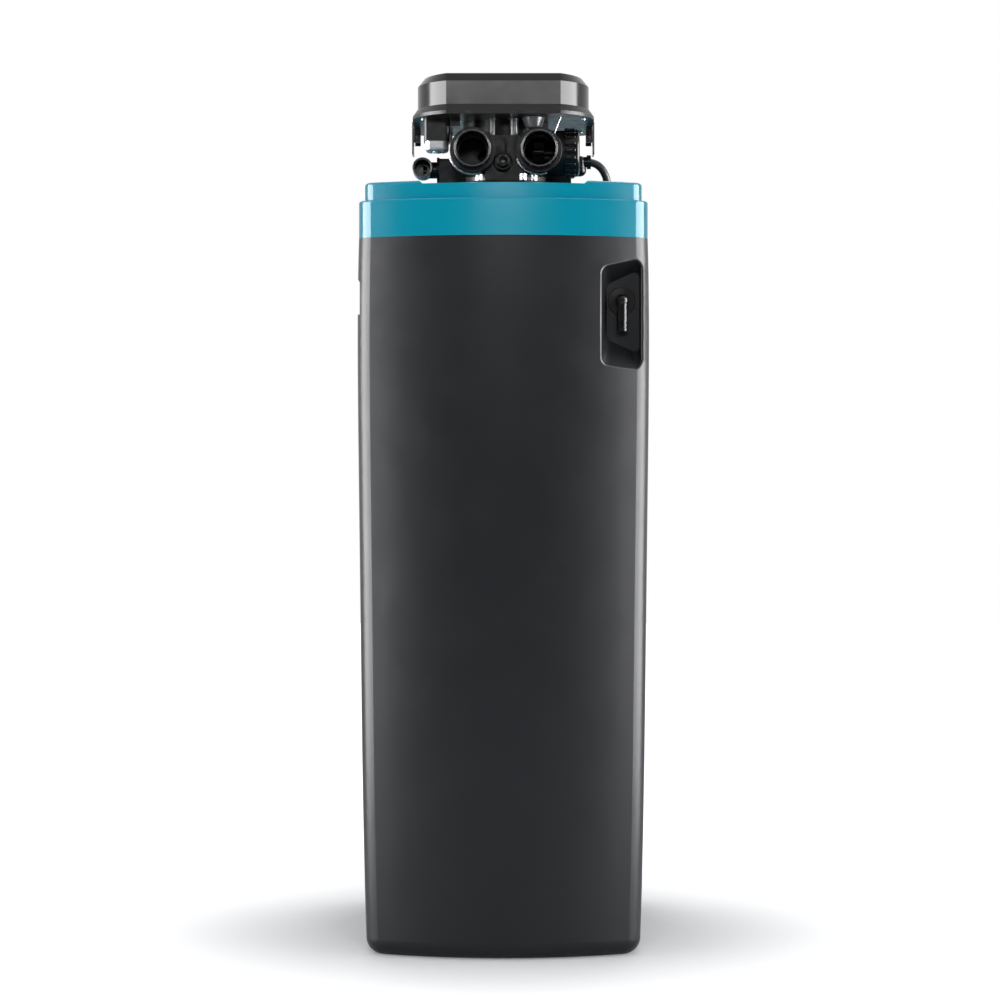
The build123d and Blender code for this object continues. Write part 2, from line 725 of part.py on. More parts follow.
with BuildPart() as upper_basket:
    basket_top_z = flange_z - neck_thread_depth - free_clearance
    with BuildSketch(Plane.XY.offset(basket_top_z - basket_height)):
        with Locations((valve_x, valve_y)):
            Circle(basket_radius)
            Circle(riser_radius + fit_clearance, mode=Mode.SUBTRACT)
    extrude(amount=basket_height)
    with BuildSketch(Plane.XY.offset(basket_top_z - basket_height + basket_wall)):
        with Locations((valve_x, valve_y)):
            Circle(basket_radius - basket_wall)
            Circle(riser_radius + fit_clearance + basket_wall, mode=Mode.SUBTRACT)
    extrude(amount=basket_height, mode=Mode.SUBTRACT)
finish(upper_basket, "upper_basket")

# Seal between the tank's neck and the valve's flange
seal_section_radius = seal_gap / 2
seal_ring_radius = 42.0

with BuildPart() as tank_seal:
    with Locations((valve_x, valve_y, tank_top + seal_gap / 2)):
        Torus(seal_ring_radius, seal_section_radius)
finish(tank_seal, "tank_seal")

# Flange screws: three stand in sight at the back, two at the front
flange_screw_angles = (244.5, 286.0, 296.5, 60.0, 120.0)
flange_screw_circle = 74.5
flange_screw_radius = 3.9
flange_screw_height = 8.5
flange_screw_socket_radius = 2.0
flange_screw_socket_depth = 3.0

with BuildPart() as flange_screws:
    for screw_angle in flange_screw_angles:
        screw_x = valve_x + flange_screw_circle * math.cos(math.radians(screw_angle))
        screw_y = valve_y + flange_screw_circle * math.sin(math.radians(screw_angle))
        with BuildSketch(Plane.XY.offset(flange_top_z)):
            with Locations((screw_x, screw_y)):
                Circle(flange_screw_radius)
        extrude(amount=flange_screw_height)
        with BuildSketch(Plane.XY.offset(flange_top_z + flange_screw_height - flange_screw_socket_depth)):
            with Locations((screw_x, screw_y)):
                RegularPolygon(flange_screw_socket_radius, 6)
        extrude(amount=flange_screw_socket_depth, mode=Mode.SUBTRACT)
finish(flange_screws, "flange_screws")

# Port adapters with notched mouths, and the spring clips that hold them
adapter_gap = 0.3
nub_angles = (55.0, 118.0, 242.0, 305.0)
nub_size = 2.2
nub_depth = 3.0
clip_radius = 1.6
clip_y = -171.0
clip_start_angle = 200.0
clip_arc = 90.0
adapter_back_y = socket_front_y + socket_bore_depth - adapter_gap


def port_adapter(port_x):
    """One pipe adapter: a plain tube with four small lugs at its mouth."""
    with BuildPart() as adapter:
        with BuildSketch(plane_along_y(port_x, adapter_back_y, port_height)):
            Circle(port_outer_radius)
        extrude(amount=adapter_back_y - port_mouth_y)
        for nub_angle in nub_angles:
            nub_x = port_x + port_outer_radius * math.cos(math.radians(nub_angle))
            nub_z = port_height + port_outer_radius * math.sin(math.radians(nub_angle))
            with Locations(Location((nub_x, port_mouth_y + nub_depth / 2, nub_z), (0, -nub_angle, 0))):
                Box(nub_size, nub_depth, nub_size)
        with BuildSketch(plane_along_y(port_x, adapter_back_y, port_height)):
            Circle(port_bore_radius)
        extrude(amount=adapter_back_y - port_mouth_y, mode=Mode.SUBTRACT)
        chamfer(
            adapter.edges().filter_by(GeomType.CIRCLE).group_by(Axis.Y)[0].sort_by(SortBy.RADIUS)[0],
            (port_outer_radius - port_bore_radius) / 3,
        )
    return adapter


inlet_adapter = port_adapter(left_port_x)
finish(inlet_adapter, "inlet_adapter")
outlet_adapter = port_adapter(right_port_x)
finish(outlet_adapter, "outlet_adapter")

with BuildPart() as adapter_clips:
    for port_x in (left_port_x, right_port_x):
        clip_axis = Axis((port_x, clip_y, port_height), (0, -1, 0))
        ring_plane = Plane(origin=(port_x, clip_y, port_height)).rotated((0, -clip_start_angle, 0))
        with BuildSketch(ring_plane):
            with Locations((socket_radius + clip_radius, 0)):
                Circle(clip_radius - running_clearance)
        revolve(axis=clip_axis, revolution_arc=clip_arc)
finish(adapter_clips, "adapter_clips")

# Injector bolt between the ports, with a washer face
bolt_across_flats = 12.7
bolt_head_height = 6.0
bolt_washer_radius = 8.4
bolt_washer_thickness = 1.5

with BuildPart() as injector_bolt:
    with BuildSketch(plane_along_y(injector_x, injector_front_y + bolt_shank_length, injector_z)):
        Circle(bolt_shank_radius)
    extrude(amount=bolt_shank_length)
    with BuildSketch(plane_along_y(injector_x, injector_front_y, injector_z)):
        Circle(bolt_washer_radius)
    extrude(amount=bolt_washer_thickness)
    with BuildSketch(plane_along_y(injector_x, injector_front_y - bolt_washer_thickness, injector_z)):
        RegularPolygon(bolt_across_flats / 2, 6, major_radius=False, rotation=30)
    extrude(amount=bolt_head_height)
finish(injector_bolt, "injector_bolt")

# Flow meter: bearing plug, nut and turbine, on one axis across the outlet port
plug_shaft_radius = 2.0
turbine_radius = 14.0
turbine_hub_radius = 4.0
turbine_width = 12.0
turbine_blade_count = 6
turbine_blade_thickness = 1.2
nut_outer_radius = 28.5
nut_length = 18.0
nut_dome_radius = 4.0
nut_rib_count = 24
nut_rib_width = 3.0
nut_rib_height = 1.2
nut_rib_length = 14.0
thread_end_x = meter_face_x + meter_thread_length
turbine_low_x = right_port_x - turbine_width / 2
shaft_low_x = turbine_low_x - plug_shaft_radius
nut_low_x = meter_face_x + free_clearance
plug_inner_x = thread_end_x - meter_thread_length

with BuildPart() as meter_plug:
    with BuildSketch(plane_along_x(plug_inner_x, meter_y, port_height)):
        Circle(meter_bore_radius - fit_clearance)
    extrude(amount=thread_end_x - plug_inner_x)
    with BuildSketch(plane_along_x(shaft_low_x, meter_y, port_height)):
        Circle(plug_shaft_radius)
    extrude(amount=plug_inner_x - shaft_low_x)
    with BuildSketch(plane_along_x(turbine_low_x + turbine_width + free_clearance, meter_y, port_height)):
        Circle(turbine_hub_radius)
    extrude(amount=plug_inner_x - turbine_low_x - turbine_width - free_clearance)
finish(meter_plug, "meter_plug")

with BuildPart() as meter_turbine:
    with BuildSketch(plane_along_x(turbine_low_x, meter_y, port_height)):
        Circle(turbine_hub_radius)
        with PolarLocations(0, turbine_blade_count):
            with Locations((turbine_radius / 2, 0)):
                Rectangle(turbine_radius, turbine_blade_thickness)
    extrude(amount=turbine_width)
    with BuildSketch(plane_along_x(turbine_low_x, meter_y, port_height)):
        Circle(plug_shaft_radius + running_clearance)
    extrude(amount=turbine_width, mode=Mode.SUBTRACT)
finish(meter_turbine, "meter_turbine")

with BuildPart() as meter_nut:
    with BuildSketch(plane_along_x(nut_low_x, meter_y, port_height)):
        Circle(nut_outer_radius)
    extrude(amount=nut_length)
    fillet(meter_nut.edges().group_by(Axis.X)[-1], nut_dome_radius)
    with BuildSketch(plane_along_x(nut_low_x, meter_y, port_height)):
        with PolarLocations(nut_outer_radius, nut_rib_count):
            Rectangle(2 * nut_rib_height, nut_rib_width)
    extrude(amount=nut_rib_length)
    with BuildSketch(plane_along_x(nut_low_x, meter_y, port_height)):
        Circle(meter_thread_radius + fit_clearance)
    extrude(amount=thread_end_x + free_clearance - nut_low_x, mode=Mode.SUBTRACT)
finish(meter_nut, "meter_nut")

# Drain elbow, which turns about its leg, with its lock ring and flow washer
drain_reach = 28.0
drain_x = -98.0
drain_outer_radius = 12.4
drain_bore_radius = 9.75
drain_leg_radius = 10.0
drain_leg_bore = 5.5
drain_ring_radius = 13.5
drain_ring_width = 3.0
drain_ring_tooth_count = 14
drain_ring_tooth = 2.0
drain_mouth_depth = 22.0
flow_washer_thickness = 3.0
flow_washer_hole = 1.5
drain_ring_x = drain_face_x - drain_ring_width
drain_leg_end_x = drain_ring_x - free_clearance
drain_mouth_y = valve_y - drain_reach

with BuildPart() as drain_elbow:
    with BuildSketch(plane_along_y(drain_x, valve_y, drain_z)):
        Circle(drain_outer_radius)
    extrude(amount=drain_reach)
    with Locations((drain_x, valve_y, drain_z)):
        Sphere(drain_outer_radius)
    with BuildSketch(plane_along_x(drain_x, valve_y, drain_z)):
        Circle(drain_leg_radius)
    extrude(amount=drain_leg_end_x - drain_x)
    with BuildSketch(plane_along_x(drain_x, valve_y, drain_z)):
        Circle(drain_spigot_radius)
    extrude(amount=drain_face_x + drain_spigot_length - flow_washer_thickness - drain_x)
    with BuildSketch(plane_along_y(drain_x, drain_mouth_y + drain_mouth_depth, drain_z)):
        Circle(drain_bore_radius)
    extrude(amount=drain_mouth_depth, mode=Mode.SUBTRACT)
    with BuildSketch(plane_along_x(drain_x, valve_y, drain_z)):
        Circle(drain_leg_bore)
    extrude(amount=drain_face_x + drain_spigot_length - drain_x, mode=Mode.SUBTRACT)
    with BuildSketch(plane_along_y(drain_x, valve_y, drain_z)):
        Circle(drain_leg_bore)
    extrude(amount=drain_reach, mode=Mode.SUBTRACT)
finish(drain_elbow, "drain_elbow")

with BuildPart() as drain_lock_ring:
    with BuildSketch(plane_along_x(drain_ring_x, valve_y, drain_z)):
        Circle(drain_ring_radius)
        with PolarLocations(drain_ring_radius, drain_ring_tooth_count):
            Rectangle(2 * drain_ring_tooth, drain_ring_tooth)
        Circle(drain_spigot_radius + free_clearance, mode=Mode.SUBTRACT)
    extrude(amount=drain_ring_width)
finish(drain_lock_ring, "drain_lock_ring")

with BuildPart() as drain_flow_washer:
    washer_x = drain_face_x + drain_spigot_length - flow_washer_thickness
    with BuildSketch(plane_along_x(washer_x, valve_y, drain_z)):
        Circle(drain_spigot_radius)
        Circle(flow_washer_hole, mode=Mode.SUBTRACT)
    extrude(amount=flow_washer_thickness)
finish(drain_flow_washer, "drain_flow_washer")

# Brine elbow, its nut and the brine tube down to the well
brine_elbow_x = 94.0
brine_exit_z = 951.0
brine_knuckle_radius = 7.0
brine_exit_radius = 6.5
brine_channel_radius = 3.0
brine_nut_radius = 7.5
brine_nut_length = 5.0
brine_ridge_count = 12
brine_ridge = 1.0
brine_tube_start_x = 102.0
well_x = 92.0
well_y = 90.0
valve_port_z = 808.0
brine_tube_end_y = 70.0

with BuildPart() as brine_elbow:
    with BuildSketch(plane_along_x(brine_face_x - brine_leg_depth, valve_y, brine_z)):
        Circle(brine_leg_radius)
    extrude(amount=brine_elbow_x - brine_face_x + brine_leg_depth)
    with BuildSketch(Plane.XY.offset(brine_z)):
        with Locations((brine_elbow_x, valve_y)):
            Circle(brine_knuckle_radius)
    extrude(amount=brine_exit_z - brine_z)
    with Locations((brine_elbow_x, valve_y, brine_z), (brine_elbow_x, valve_y, brine_exit_z)):
        Sphere(brine_leg_radius)
    with BuildSketch(plane_along_x(brine_elbow_x, valve_y, brine_exit_z)):
        Circle(brine_exit_radius)
    extrude(amount=brine_tube_start_x - brine_elbow_x)
    with BuildSketch(plane_along_x(brine_elbow_x, valve_y, brine_exit_z)):
        Circle(brine_channel_radius)
    extrude(amount=brine_tube_start_x - brine_elbow_x, mode=Mode.SUBTRACT)
    with BuildSketch(Plane.XY.offset(brine_z)):
        with Locations((brine_elbow_x, valve_y)):
            Circle(brine_channel_radius)
    extrude(amount=brine_exit_z - brine_z, mode=Mode.SUBTRACT)
    with BuildSketch(plane_along_x(brine_face_x - brine_leg_depth, valve_y, brine_z)):
        Circle(brine_channel_radius)
    extrude(amount=brine_elbow_x - brine_face_x + brine_leg_depth, mode=Mode.SUBTRACT)
finish(brine_elbow, "brine_elbow")

with BuildPart() as brine_nut:
    with BuildSketch(plane_along_x(brine_tube_start_x, valve_y, brine_exit_z)):
        Circle(brine_nut_radius)
        with PolarLocations(brine_nut_radius, brine_ridge_count):
            Rectangle(2 * brine_ridge, brine_ridge)
        Circle(tube_radius, mode=Mode.SUBTRACT)
    extrude(amount=brine_nut_length)
finish(brine_nut, "brine_nut")

# The tube leaves the elbow, arcs down through the cover, passes over the tank's
# shoulder and runs into the well's safety valve.
shoulder_point = (cover_hole_x, valve_y, 862.0)
forward_point = (cover_hole_x, -38.0, 862.0)
well_point = (well_x, 20.0, valve_port_z)
tube_points = (
    (brine_tube_start_x, valve_y, brine_exit_z),
    (cover_hole_x, valve_y, brine_exit_z),
    shoulder_point,
    forward_point,
    well_point,
    (well_x, brine_tube_end_y, valve_port_z),
)
tube_bend_radii = (22.0, 36.0, 44.0, 40.0)

with BuildPart() as brine_tube:
    with BuildLine() as tube_path:
        FilletPolyline(*tube_points, radius=tube_bend_radii)
    with BuildSketch(plane_along_x(brine_tube_start_x, valve_y, brine_exit_z)):
        Circle(tube_radius)
        Circle(tube_radius - tube_wall, mode=Mode.SUBTRACT)
    sweep(path=tube_path.line)
finish(brine_tube, "brine_tube")
tube_length = sum(edge.length for edge in tube_path.edges())
tube_section = math.pi * (tube_radius**2 - (tube_radius - tube_wall) ** 2)
print("brine tube length", round(tube_length, 1), "radii", tube_bend_radii)
tube_volume_share = brine_tube.part.volume / (tube_section * tube_length)
print("tube volume over section times length", round(tube_volume_share, 4))

# Grommet where the tube passes the cover
grommet_lip = 2.0
grommet_outer_radius = 11.0

with BuildPart() as tube_grommet:
    with BuildSketch(Plane.XY.offset(cover_top_z)):
        with Locations((cover_hole_x, valve_y)):
            Circle(grommet_outer_radius)
    extrude(amount=grommet_lip)
    fillet(tube_grommet.edges().group_by(Axis.Z)[-1], grommet_lip / 2)
    with BuildSketch(Plane.XY.offset(cover_top_z - cover_wall)):
        with Locations((cover_hole_x, valve_y)):
            Circle(grommet_hole_radius - fit_clearance)
    extrude(amount=cover_wall)
    with BuildSketch(Plane.XY.offset(cover_top_z - cover_wall)):
        with Locations((cover_hole_x, valve_y)):
            Circle(tube_radius + fit_clearance)
    extrude(amount=cover_wall + grommet_lip, mode=Mode.SUBTRACT)
finish(tube_grommet, "tube_grommet")

# Brine well, its lift-off cap and the safety valve with its float
well_radius = 45.0
well_wall = 2.5
well_top_z = 835.0
well_tube_hole = 7.0
well_slot_width = 4.0
well_slot_height = 40.0
well_slot_count = 8
well_slot_z = 40.0
cap_thickness = 2.5
cap_skirt = 10.0
cap_knob_radius = 9.0
cap_knob_height = 9.0
float_x = 106.0
float_radius = 17.0
float_height = 70.0
float_low_z = 200.0
float_rod_radius = 3.0
float_rod_low_z = 150.0
float_rod_top_z = 824.0
safety_half_width = 22.0
safety_half_depth = 10.0
safety_half_height = 13.0
safety_port_radius = 8.0
safety_port_y = 64.0
pickup_x = 78.0
pickup_radius = 6.35
pickup_low_z = 46.0
pickup_depth = 8.0
air_check_radius = 12.0
air_check_low_z = 14.0
air_check_slot_width = 2.5
air_check_slot_count = 6
rod_collar_radius = 5.0
safety_low_z = valve_port_z - safety_half_height
safety_high_z = valve_port_z + safety_half_height

with BuildPart() as brine_well:
    with BuildSketch(Plane.XY.offset(cabinet_wall)):
        with Locations((well_x, well_y)):
            Circle(well_radius)
    extrude(amount=well_top_z - cabinet_wall)
    with BuildSketch(Plane.XY.offset(cabinet_wall + well_wall)):
        with Locations((well_x, well_y)):
            Circle(well_radius - well_wall)
    extrude(amount=well_top_z, mode=Mode.SUBTRACT)
    with BuildSketch(plane_along_y(well_x, well_y, valve_port_z)):
        Circle(well_tube_hole)
    extrude(amount=well_radius + overrun, mode=Mode.SUBTRACT)
    with Locations((well_x, well_y, well_slot_z)):
        with PolarLocations(well_radius, well_slot_count):
            Box(4 * well_wall, well_slot_width, well_slot_height, mode=Mode.SUBTRACT)
finish(brine_well, "brine_well")

with BuildPart() as brine_well_cap:
    cap_low_z = well_top_z + free_clearance
    with BuildSketch(Plane.XY.offset(cap_low_z - cap_skirt)):
        with Locations((well_x, well_y)):
            Circle(well_radius + free_clearance + well_wall)
            Circle(well_radius + free_clearance, mode=Mode.SUBTRACT)
    extrude(amount=cap_skirt)
    with BuildSketch(Plane.XY.offset(cap_low_z)):
        with Locations((well_x, well_y)):
            Circle(well_radius + free_clearance + well_wall)
    extrude(amount=cap_thickness)
    with BuildSketch(Plane.XY.offset(cap_low_z + cap_thickness)):
        with Locations((well_x, well_y)):
            Circle(cap_knob_radius)
    extrude(amount=cap_knob_height)
    fillet(brine_well_cap.edges().group_by(Axis.Z)[-1], cap_thickness)
finish(brine_well_cap, "brine_well_cap")

with BuildPart() as safety_valve:
    with Locations((well_x, well_y, valve_port_z)):
        Box(2 * safety_half_width, 2 * safety_half_depth, 2 * safety_half_height)
    fillet(safety_valve.edges().filter_by(Axis.Z), well_wall)
    with BuildSketch(plane_along_y(well_x, well_y, valve_port_z)):
        Circle(safety_port_radius)
    extrude(amount=well_y - safety_port_y)
    with BuildSketch(plane_along_y(well_x, brine_tube_end_y, valve_port_z)):
        Circle(tube_radius + fit_clearance)
    extrude(amount=brine_tube_end_y - safety_port_y, mode=Mode.SUBTRACT)
    with BuildSketch(plane_along_y(well_x, well_y, valve_port_z)):
        Circle(brine_channel_radius)
    extrude(amount=well_y - brine_tube_end_y, mode=Mode.SUBTRACT)
    with BuildSketch(Plane.XY.offset(safety_low_z)):
        with Locations((pickup_x, well_y)):
            Circle(pickup_radius + fit_clearance)
    extrude(amount=pickup_depth, mode=Mode.SUBTRACT)
    with BuildSketch(Plane.XY.offset(safety_low_z)):
        with Locations((float_x, well_y)):
            Circle(float_rod_radius + 2 * running_clearance)
    extrude(amount=2 * safety_half_height, mode=Mode.SUBTRACT)
finish(safety_valve, "safety_valve")

with BuildPart() as pickup_tube:
    with BuildSketch(Plane.XY.offset(pickup_low_z)):
        with Locations((pickup_x, well_y)):
            Circle(pickup_radius)
            Circle(pickup_radius - tube_wall, mode=Mode.SUBTRACT)
    extrude(amount=safety_low_z + pickup_depth - pickup_low_z)
finish(pickup_tube, "pickup_tube")

with BuildPart() as air_check:
    with BuildSketch(Plane.XY.offset(air_check_low_z)):
        with Locations((pickup_x, well_y)):
            Circle(air_check_radius)
    extrude(amount=pickup_low_z - air_check_low_z)
    with BuildSketch(Plane.XY.offset(air_check_low_z + well_wall)):
        with Locations((pickup_x, well_y)):
            Circle(air_check_radius - well_wall)
    extrude(amount=pickup_low_z - air_check_low_z - 2 * well_wall, mode=Mode.SUBTRACT)
    with Locations((pickup_x, well_y, (air_check_low_z + pickup_low_z) / 2)):
        with PolarLocations(air_check_radius, air_check_slot_count):
            Box(2 * air_check_radius / 3, air_check_slot_width, air_check_radius, mode=Mode.SUBTRACT)
    with BuildSketch(Plane.XY.offset(pickup_low_z - well_wall)):
        with Locations((pickup_x, well_y)):
            Circle(pickup_radius - tube_wall)
    extrude(amount=well_wall, mode=Mode.SUBTRACT)
finish(air_check, "air_check")

with BuildPart() as float_rod:
    with BuildSketch(Plane.XY.offset(float_rod_low_z)):
        with Locations((float_x, well_y)):
            Circle(float_rod_radius)
    extrude(amount=float_rod_top_z - float_rod_low_z)
    with BuildSketch(Plane.XY.offset(safety_high_z + free_clearance)):
        with Locations((float_x, well_y)):
            Circle(rod_collar_radius)
    extrude(amount=float_rod_top_z - safety_high_z - free_clearance)
finish(float_rod, "float_rod")

with BuildPart() as float_cup:
    with BuildSketch(Plane.XY.offset(float_low_z)):
        with Locations((float_x, well_y)):
            Circle(float_radius)
    extrude(amount=float_height)
    fillet(float_cup.edges().filter_by(GeomType.CIRCLE), well_wall)
    with BuildSketch(Plane.XY.offset(float_low_z)):
        with Locations((float_x, well_y)):
            Circle(float_rod_radius)
    extrude(amount=float_height, mode=Mode.SUBTRACT)
finish(float_cup, "float_cup")

# Disc valve: fixed disc, moving disc, shaft and the threaded bonnet above them
disc_thickness = 5.0
disc_clearance = 0.5
disc_port_angles = (0.0, 180.0, 90.0, 270.0)
moving_disc_radius = 30.0
moving_slot_radius = 4.5
shaft_radius = 8.0
shaft_foot_radius = 16.0
shaft_foot_height = 1.5
bonnet_height = 6.0
shaft_seal_radius = 10.5
shaft_seal_height = 2.0
gear_lift = 5.0
shaft_top_rise = 3.0
fixed_disc_top_z = chamber_floor_z + disc_thickness
moving_disc_low_z = fixed_disc_top_z + running_clearance
moving_disc_top_z = moving_disc_low_z + disc_thickness
gear_low_z = head_bottom + gear_lift
gear_high_z = gear_low_z + gear_thickness
bonnet_low_z = head_bottom - bonnet_height

with BuildPart() as fixed_disc:
    with BuildSketch(Plane.XY.offset(chamber_floor_z)):
        with Locations((valve_x, valve_y)):
            Circle(chamber_radius - disc_clearance)
            Circle(passage_radius, mode=Mode.SUBTRACT)
            for port_angle in disc_port_angles:
                turn = math.radians(port_angle)
                port_place = (passage_circle * math.cos(turn), passage_circle * math.sin(turn))
                with Locations(port_place):
                    Circle(passage_radius, mode=Mode.SUBTRACT)
    extrude(amount=disc_thickness)
finish(fixed_disc, "fixed_disc")

with BuildPart() as moving_disc:
    with BuildSketch(Plane.XY.offset(moving_disc_low_z)):
        with Locations((valve_x, valve_y)):
            Circle(moving_disc_radius)
            with Locations((passage_circle, 0)):
                Circle(passage_radius, mode=Mode.SUBTRACT)
    extrude(amount=disc_thickness)
    with BuildSketch(Plane.XY.offset(moving_disc_low_z)):
        with Locations((valve_x, valve_y)):
            SlotOverall(2 * passage_circle, 2 * moving_slot_radius, rotation=90)
    extrude(amount=disc_thickness / 2, mode=Mode.SUBTRACT)
finish(moving_disc, "moving_disc")

with BuildPart() as valve_shaft:
    with BuildSketch(Plane.XY.offset(moving_disc_top_z)):
        with Locations((valve_x, valve_y)):
            Circle(shaft_foot_radius)
    extrude(amount=shaft_foot_height)
    with BuildSketch(Plane.XY.offset(moving_disc_top_z)):
        with Locations((valve_x, valve_y)):
            Circle(shaft_radius)
    extrude(amount=gear_high_z + shaft_top_rise - moving_disc_top_z)
finish(valve_shaft, "valve_shaft")

with BuildPart() as valve_bonnet:
    with BuildSketch(Plane.XY.offset(bonnet_low_z)):
        with Locations((valve_x, valve_y)):
            Circle(chamber_radius - fit_clearance)
            Circle(shaft_radius + running_clearance, mode=Mode.SUBTRACT)
    extrude(amount=bonnet_height - free_clearance)
    with BuildSketch(Plane.XY.offset(head_bottom - free_clearance - shaft_seal_height)):
        with Locations((valve_x, valve_y)):
            Circle(shaft_seal_radius)
    extrude(amount=shaft_seal_height, mode=Mode.SUBTRACT)
finish(valve_bonnet, "valve_bonnet")

with BuildPart() as shaft_seal:
    with BuildSketch(Plane.XY.offset(head_bottom - free_clearance - shaft_seal_height)):
        with Locations((valve_x, valve_y)):
            Circle(shaft_seal_radius)
            Circle(shaft_radius + running_clearance, mode=Mode.SUBTRACT)
    extrude(amount=shaft_seal_height)
finish(shaft_seal, "shaft_seal")

# Control head: plan, base tray and lift-off cover
base_floor = 3.0
base_wall = 2.5
rim_bevel_in = 5.0
rim_bevel_down = 8.0
cover_inset = 6.0
cover_bevel_in = 7.0
cover_bevel_down = 10.0
slope_rise = 32.0
base_shaft_hole = 10.5
base_boss_radius = 6.0
hanging_boss_x = -58.0
hanging_boss_y = -158.0
hanging_boss_width = 12.0
hanging_boss_height = 10.0
cover_gap = 0.3


def head_outline(inset):
    """The head's plan: a flat rear face, wide rear corners and rounded front ones."""
    half_width = head_half_width - inset
    rear_y = head_rear_y + inset
    front_y = head_front_y - inset
    side_y = rear_y + head_corner_depth
    corner_run = half_width - head_flat_half
    radius = (corner_run**2 + head_corner_depth**2) / (2 * corner_run)
    turn = math.atan2(head_corner_depth, radius - corner_run) / 2
    middle_x = half_width - radius + radius * math.cos(turn)
    middle_y = side_y - radius * math.sin(turn)
    with BuildSketch() as outline:
        with BuildLine():
            Line((-head_flat_half, rear_y), (head_flat_half, rear_y))
            ThreePointArc((head_flat_half, rear_y), (middle_x, middle_y), (half_width, side_y))
            Line((half_width, side_y), (half_width, front_y))
            Line((half_width, front_y), (-half_width, front_y))
            Line((-half_width, front_y), (-half_width, side_y))
            ThreePointArc((-half_width, side_y), (-middle_x, middle_y), (-head_flat_half, rear_y))
        make_face()
        fillet(outline.vertices().group_by(Axis.Y)[-1], head_front_radius - inset)
    return outline.sketch


def cover_form(inset, low, high):
    """The head cover's body with its bevelled top and its sloping front."""
    slope_edge_y = head_front_y - cover_inset
    depth_in = (inset - cover_inset) * math.sqrt(2)
    with BuildPart() as form:
        with BuildSketch(Plane.XY.offset(low)):
            add(head_outline(inset))
        extrude(amount=high - cover_bevel_down - low)
        with BuildSketch(Plane.XY.offset(high - cover_bevel_down)):
            add(head_outline(inset))
        with BuildSketch(Plane.XY.offset(high)):
            add(head_outline(inset + cover_bevel_in))
        loft(ruled=True)
        with BuildSketch(Plane.YZ.offset(-head_half_width - overrun)):
            with BuildLine():
                Polyline(
                    (slope_edge_y + overrun, head_top - slope_rise - overrun - depth_in),
                    (slope_edge_y + overrun, head_top + overrun),
                    (slope_edge_y - slope_rise - overrun - depth_in, head_top + overrun),
                    close=True,
                )
            make_face()
        extrude(amount=2 * (head_half_width + overrun), mode=Mode.SUBTRACT)
    return form.part


# Motor, gears and their places along one line from the valve's axis
main_radius = gear_module * main_teeth / 2
idler_radius = gear_module * idler_teeth / 2
pinion_radius = gear_module * pinion_teeth / 2
line_x = math.cos(math.radians(gear_line_angle))
line_y = math.sin(math.radians(gear_line_angle))
idler_distance = main_radius + idler_radius
motor_distance = idler_distance + idler_radius + pinion_radius
idler_x = valve_x + idler_distance * line_x
idler_y = valve_y + idler_distance * line_y
motor_x = valve_x + motor_distance * line_x
motor_y = valve_y + motor_distance * line_y
motor_half = 14.0
motor_low_z = 957.0
motor_corner = 7.0
motor_edge_radius = 4.0
motor_nose_radius = 5.0
motor_shaft_radius = 2.5
motor_shaft_depth = 8.0
housing_half = 15.5
housing_low_z = 969.0
housing_corner = 5.0
idler_pin_radius = 3.0
pressure_angle = 25.0
addendum_share = 0.95
dedendum_share = 1.2
backlash = 0.12
flank_steps = 4


def gear_outline(teeth, phase):
    """A spur gear's outline with involute flanks, one tooth centred on the phase angle."""
    pitch_radius = gear_module * teeth / 2
    tip_radius = pitch_radius + addendum_share * gear_module
    root_radius = pitch_radius - dedendum_share * gear_module
    angle = math.radians(pressure_angle)
    base_radius = pitch_radius * math.cos(angle)
    start_radius = max(base_radius, root_radius)
    half_tooth = math.pi / (2 * teeth) - backlash / (2 * pitch_radius)
    base_half = half_tooth + math.tan(angle) - angle
    flank = []
    if root_radius < base_radius:
        flank.append((root_radius, base_half))
    for step in range(flank_steps + 1):
        radius = start_radius + (tip_radius - start_radius) * step / flank_steps
        roll = math.sqrt(max((radius / base_radius) ** 2 - 1, 0))
        flank.append((radius, base_half - roll + math.atan(roll)))
    points = []
    for tooth in range(teeth):
        centre = math.radians(phase) + 2 * math.pi * tooth / teeth
        for radius, offset in flank:
            points.append((radius * math.cos(centre - offset), radius * math.sin(centre - offset)))
        for radius, offset in reversed(flank):
            points.append((radius * math.cos(centre + offset), radius * math.sin(centre + offset)))
    with BuildSketch() as outline:
        with BuildLine():
            Polyline(*points, close=True)
        make_face()
    return outline.sketch


def spur_gear(teeth, phase, x, y, bore_radius):
    """One spur gear on a vertical axis."""
    with BuildPart() as gear:
        with BuildSketch(Plane(origin=(x, y, gear_low_z))):
            add(gear_outline(teeth, phase))
            Circle(bore_radius, mode=Mode.SUBTRACT)
        extrude(amount=gear_thickness)
    return gear


# Each gear's tooth phase puts it in mesh with the one before it at rest.
idler_pitch = 360 / idler_teeth
pinion_pitch = 360 / pinion_teeth
main_phase = gear_line_angle
idler_phase = gear_line_angle + 180 + idler_pitch / 2
idler_turn = ((gear_line_angle - idler_phase) / idler_pitch) % 1
pinion_turn = (0.5 - idler_turn) % 1
pinion_phase = gear_line_angle + 180 - pinion_turn * pinion_pitch

main_gear = spur_gear(main_teeth, main_phase, valve_x, valve_y, shaft_radius)
finish(main_gear, "main_gear")
idler_gear = spur_gear(idler_teeth, idler_phase, idler_x, idler_y, idler_pin_radius + running_clearance)
finish(idler_gear, "idler_gear")

with BuildPart() as motor_pinion:
    add(spur_gear(pinion_teeth, pinion_phase, motor_x, motor_y, motor_shaft_radius).part)
    with BuildSketch(Plane.XY.offset(head_bottom - motor_shaft_depth)):
        with Locations((motor_x, motor_y)):
            Circle(motor_shaft_radius)
    extrude(amount=gear_high_z - head_bottom + motor_shaft_depth)
finish(motor_pinion, "motor_pinion")

